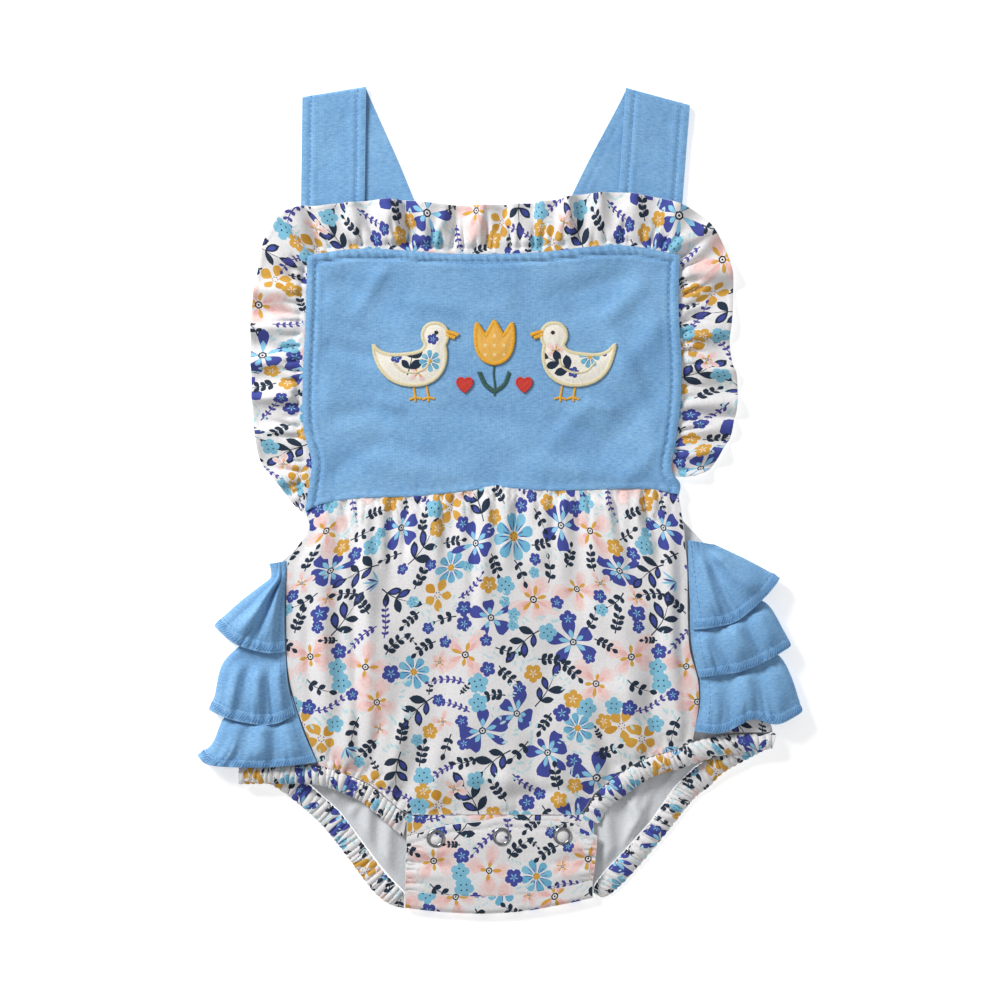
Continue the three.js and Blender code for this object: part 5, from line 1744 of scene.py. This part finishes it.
# motif, across and up on the duck, turn
DUCK_LAYOUTS = {
    "duck_left": [("wash", 0.1, -0.3, 0.4), ("sprig", -0.1, 0.02, 1.2), ("bloom", 0.42, 0.02, 0),
                  ("small", -0.5, 0.12, 0), ("small", 0.5, 0.62, 0)],
    "duck_right": [("wash", 0.5, 0.3, 0), ("bloom", -0.42, 0.14, 0.6), ("sprig", 0.34, -0.1, 2.4),
                   ("small", 0.02, -0.28, 0), ("small", -0.8, 0.3, 0)],
}


def duck_print(name):
    """A few small motifs from the same cloth, placed one by one."""
    _, _, x, y, size, facing = PATCHES[name]
    picks = random.Random(PRINT_SEED - facing)
    motifs = {
        "sprig": leafy(size * 0.7, size * 0.12, 2, size * 0.34, size * 0.2, NAVY, picks),
        "bloom": aqua_daisy(size * 0.3, picks),
        "small": blossom(size * 0.15, ROYAL, THROAT),
        "wash": pink_bloom(size * 0.3, picks),
    }
    shapes = []
    for kind, across, up, turn in DUCK_LAYOUTS[name]:
        motif_x, motif_y = x + facing * across * size * DUCK_SCALE, y + up * size * DUCK_SCALE
        shapes += [(placed(shape, motif_x, motif_y, turn), ink) for shape, ink in motifs[kind]]
    return shapes


def tulip_print(name):
    """Pale dots in rows."""
    _, _, x, y, _, _ = PATCHES[name]
    rows = [(x + dx, y + dy) for dx in (-5, 0, 5) for dy in (-6, -1, 4)]
    return [(dot(dot_x, dot_y, 0.9), "#F6D9A0") for dot_x, dot_y in rows]


patches = {}
patch_lines = {}
prints = {"duck_left": duck_print, "duck_right": duck_print, "tulip": tulip_print}
for name, (_, ground, *_) in PATCHES.items():
    outline = patch_lines[name] = densely(patch_outline(name), 0.9)
    motifs = prints[name](name) if name in prints else []
    patches[name] = sew(f"{name}_patch", outline, patch_place(outline, PATCH_LIFT), (1.1, 1.1), patch_cloth,
                        motifs, (ground, True), (ground, False))

# %% [markdown]
# Every visible seam is sewn. A stitch is a small thread that repeats along a path, which is work for
# Geometry Nodes: the path is resampled at the stitch pitch, and a small capsule stands on every point,
# turned along the path. A slant of 90 degrees lays the threads across the path, as in a satin edge, and a
# lesser slant makes the overlock of a hem. The tree ends in real geometry, so the result is plain mesh.

# %% A tree that sews
def stitch_tree():
    tree = bpy.data.node_groups.new("sewing", "GeometryNodeTree")
    face = tree.interface
    face.new_socket("Path", in_out="INPUT", socket_type="NodeSocketGeometry")
    for label in ("Pitch", "Stitch Length", "Thread Thickness", "Slant"):
        face.new_socket(label, in_out="INPUT", socket_type="NodeSocketFloat")
    face.new_socket("Thread", in_out="INPUT", socket_type="NodeSocketMaterial")
    face.new_socket("Sewn", in_out="OUTPUT", socket_type="NodeSocketGeometry")

    def add(kind, inputs, **settings):
        return node(tree, kind, inputs, **settings).outputs

    given = add("NodeGroupInput", {})
    curve = add("GeometryNodeMeshToCurve", {"Mesh": given["Path"]})["Curve"]
    spacing = {"Curve": curve, "Length": given["Pitch"]}
    spaced = add("GeometryNodeResampleCurve", spacing, mode="LENGTH")["Curve"]
    capsule = add("GeometryNodeMeshUVSphere", {"Segments": 6, "Rings": 5, "Radius": 0.5})["Mesh"]
    thickness = given["Thread Thickness"]
    sizes = {"X": given["Stitch Length"], "Y": thickness, "Z": thickness}
    size = add("ShaderNodeCombineXYZ", sizes)["Vector"]
    shaped = add("GeometryNodeTransform", {"Geometry": capsule, "Scale": size})["Geometry"]
    tangent = add("GeometryNodeInputTangent", {})["Tangent"]
    align = "FunctionNodeAlignRotationToVector"
    turned = add(align, {"Vector": tangent}, axis="X", pivot_axis="Z")["Rotation"]
    tilted = add(align, {"Rotation": turned, "Vector": tangent}, axis="X", pivot_axis="AUTO")["Rotation"]
    slant = add("FunctionNodeAxisAngleToRotation", {"Axis": (0, 0, 1), "Angle": given["Slant"]})["Rotation"]
    slanting = {"Rotation": tilted, "Rotate By": slant}
    slanted = add("FunctionNodeRotateRotation", slanting, rotation_space="LOCAL")["Rotation"]
    standing = {"Points": spaced, "Instance": shaped, "Rotation": slanted}
    instances = add("GeometryNodeInstanceOnPoints", standing)["Instances"]
    real = add("GeometryNodeRealizeInstances", {"Geometry": instances})["Geometry"]
    coloured = add("GeometryNodeSetMaterial", {"Geometry": real, "Material": given["Thread"]})["Geometry"]
    node(tree, "NodeGroupOutput", {"Sewn": coloured})
    return tree


sewing = stitch_tree()
SOCKETS = {item.name: item.identifier for item in sewing.interface.items_tree if item.in_out == "INPUT"}


def stitches(name, lines, thread_material, pitch, length, thickness, slant=0.0):
    """Sews along 3-D lines, in mm, and returns plain mesh."""
    points = np.concatenate(lines)
    ends = np.cumsum([len(line) for line in lines]) - 1
    edges = [(k, k + 1) for k in range(len(points) - 1) if k not in ends]
    path = bpy.data.meshes.new(name)
    path.from_pydata(((points + (SHIFT[0], SHIFT[1], 0)) * MM).tolist(), edges, [])
    holder = bpy.data.objects.new(name, path)
    bpy.context.collection.objects.link(holder)
    modifier = holder.modifiers.new("sewing", "NODES")
    modifier.node_group = sewing
    sizes = {"Pitch": pitch * MM, "Stitch Length": length * MM, "Thread Thickness": thickness * MM,
             "Slant": math.radians(slant), "Thread": thread_material}
    for label, value in sizes.items():
        modifier[SOCKETS[label]] = value
    graph = bpy.context.evaluated_depsgraph_get()
    sewn = bpy.data.meshes.new_from_object(holder.evaluated_get(graph))
    holder.modifiers.clear()
    holder.data = sewn
    sewn.name = name
    sewn.shade_smooth()
    print(f"{name}: {len(sewn.polygons)} faces")
    return holder


def on_cloth(place, line, lift=0.0):
    """A flat line on a piece's upper side, as 3-D points."""
    middle, normal = lay(place, np.asarray(line, float))
    return middle + normal * (SHELL / 2 + lift)


def straight(start, end, spacing=0.8):
    start, end = np.array(start, float), np.array(end, float)
    count = max(2, round(np.linalg.norm(end - start) / spacing))
    return lerp(start, end, np.linspace(0, 1, count + 1)[:, None])


# %% [markdown]
# The bib and the straps have one row of blue topstitches. Each tier has an overlocked hem with a row of
# stitches above it and a row beside the side seam. The print is sewn with white thread.

# %% Rows of stitches
STITCH = {"pitch": 2.7, "length": 2.0, "thickness": 0.5}
STRAP_INSET = 4.4
TIER_INSET = 5.2  # of the row beside each side seam
top_row = line_along(BIB["top"], 0.9, 0.024, 0.976) - (0, TOPSTITCH)
left_row = line_along(BIB["left"], 0.9, 0.035, 0.985) + (TOPSTITCH, 0)
right_row = line_along(BIB["right"], 0.9, 0.035, 0.985) - (TOPSTITCH, 0)
seams = []


def seam(name, slot, *settings, **sizes):
    seams.append((stitches(name, *settings, **sizes), slot))


seam("bib_topstitch", "blue_jersey", [on_cloth(bib_place, row) for row in (top_row, left_row, right_row)],
     blue_thread, **STITCH)
for name, strap in STRAPS.items():
    length = strap_rows(strap)[3]
    rows = [on_cloth(strap_place(strap), straight((across, 2), (across, length - 2)))
            for across in (STRAP_INSET, STRAP_WIDTH - STRAP_INSET)]
    seam(f"{name}_topstitch", "blue_jersey", rows, blue_thread, **STITCH)
for name, place in tier_places.items():
    hem = TIER_DEPTH - HEM_BAND
    above_hem = straight((2, hem - 0.8), (TIER_LENGTH - 2, hem - 0.8))
    over_hem = straight((1.5, hem + 2.5), (TIER_LENGTH - 1.5, hem + 2.5))
    beside = [straight((across, 3), (across, hem - 1)) for across in (TIER_INSET, TIER_LENGTH - TIER_INSET)]
    seam(f"{name}_hem_row", "blue_jersey", [on_cloth(place, row) for row in (above_hem, *beside)],
         blue_thread, **STITCH)
    seam(f"{name}_overlock", "blue_jersey", [on_cloth(place, over_hem, -0.05)], edge_thread,
         pitch=1.5, length=5.2, thickness=0.6, slant=58)
band_rows = []
for name, strip in band_strips.items():
    band_rows.append(on_cloth(band_places[name], straight((2, 1.0), (strip.length - 2, 1.0), 0.5), -0.1))
seam("leg_band_stitches", "floral_print", band_rows, white_thread, pitch=2.3, length=1.7, thickness=0.4)
flap_rows = [on_cloth(flap_place, line_along(FLAP_TOP, 0.8, 0.03, 0.97) - (0, 4.0))]
seam("flap_stitches", "floral_print", flap_rows, white_thread, pitch=2.5, length=1.9, thickness=0.42)

# %% [markdown]
# Each patch is held by a satin edge: threads laid side by side across its outline. The ducks' beaks, feet,
# eyes and wings and the tulip's stem and leaves are embroidered in the same way. Beaks and feet take the
# slot of the gold patch, and all the green is sewn with it too, because the record has no slot for thread.

# %% Satin edges
SATIN = {"pitch": 0.46, "slant": 84}


def on_bib(line, lift):
    return on_cloth(bib_place, line, lift)


# thread, slot in the record, width of the satin edge
SATIN_EDGES = {
    "duck": (cream_satin, "cream_patch", 2.7),
    "tulip": (gold_satin, "gold_patch", 2.7),
    "heart": (red_satin, "red_patch", 1.5),
}


def satin_edge(name):
    return SATIN_EDGES[name.split("_")[0]]


for name, outline in patch_lines.items():
    satin, slot, wide = satin_edge(name)
    edge = on_bib(closed_line(outline), 0.75)
    seam(f"{name}_satin", slot, [edge], satin, length=wide, thickness=0.8, **SATIN)


def smooth_line(points, spacing=0.5):
    return line_along(paced(points), spacing)


SMALL_SATIN = {"thickness": 0.75, "pitch": 0.42, "slant": 80}
WING = [(-0.5, -0.02), (-0.3, -0.22), (0.02, -0.26), (0.3, -0.12), (0.36, 0.06)]
BEAK = [[(0.78, 0.74), (0.9, 0.72), (1.06, 0.66)], [(0.78, 0.66), (0.88, 0.63), (0.98, 0.59)]]
TOES = ((-0.1, -0.92), (0.04, -0.96), (0.18, -0.9))
DUCK_EYE = [(0.53, 0.72)]
for name in ("duck_left", "duck_right"):
    wing = smooth_line(on_patch(name, WING))
    seam(f"{name}_wing", "cream_patch", [on_bib(wing, 1.35)], cream_satin, length=1.5, thickness=0.6, **SATIN)
    beak = [on_bib(smooth_line(on_patch(name, line), 0.3), lift) for line, lift in zip(BEAK, (0.9, 0.8))]
    seam(f"{name}_beak", "gold_patch", beak, gold_satin, length=2.6, **SMALL_SATIN)
    legs = []
    for foot in (-0.02, 0.3):
        leg = [(foot, -0.6), (foot + 0.02, -0.74), (foot + 0.04, -0.86)]
        legs.append(smooth_line(on_patch(name, leg), 0.3))
        for across, down in TOES:
            legs.append(straight(*on_patch(name, [leg[-1], (foot + across, down)]), 0.3))
    seam(f"{name}_feet", "gold_patch", [on_bib(line, 0.2) for line in legs], gold_satin,
         length=1.5, **SMALL_SATIN)
    eye_line = placed(dot(0, 0, 0.62, 9), *on_patch(name, DUCK_EYE)[0])
    seam(f"{name}_eye", "cream_patch", [on_bib(closed_line(eye_line), 1.5)], dark_satin,
         length=1.25, thickness=0.6, pitch=0.36, slant=88)
stalk = smooth_line([(-3, 73.5), (-3.4, 67), (-2.6, 60), (-3, 56)])
leaves = [smooth_line([(-3.2, 58), (-8, 62), (-11, 68.5)]), smooth_line([(-2.8, 58), (2.4, 62), (5, 68.5)])]
seam("tulip_stalk", "gold_patch", [on_bib(stalk, 0.25)], green_satin, length=1.4, thickness=0.62, **SATIN)
seam("tulip_leaves", "gold_patch", [on_bib(line, 0.25) for line in leaves], green_satin,
     length=3.0, thickness=0.66, pitch=0.46, slant=70)
print(len(seams), "rows of sewing")

# %% [markdown]
# A piece rides on the garment's one body and replaces its solid.


def dress(piece, slot, *nodes):
    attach(piece, "root")
    if nodes:
        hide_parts(*nodes)


def cut(width, height):
    return (width * MM, height * MM)


dress(bib, "blue_jersey", "bib")
dress(ruffle, "floral_print", "bib_ruffle")
for name, strap in straps.items():
    dress(strap, "blue_jersey", name)
    length = strap_rows(STRAPS[name])[3] + 6
dress(front, "floral_print", "front")
dress(back, "floral_print", "back")
for name, band in bands.items():
    dress(band, "floral_print", name)
for name, tier_cloth in tiers.items():
    dress(tier_cloth, "blue_jersey", name)
dress(flap, "floral_print", "crotch_flap")
dress(placket, "floral_print", "placket")
for name, ring in snaps.items():
    dress(ring, "snap_metal", name)
for name, patch in patches.items():
    dress(patch, satin_edge(name)[1], name)
    outline = patch_lines[name]
    area = abs(shoelace(outline)) * MM * MM
for sewn, slot in seams:
    dress(sewn, slot)
print("every piece rides on the garment")
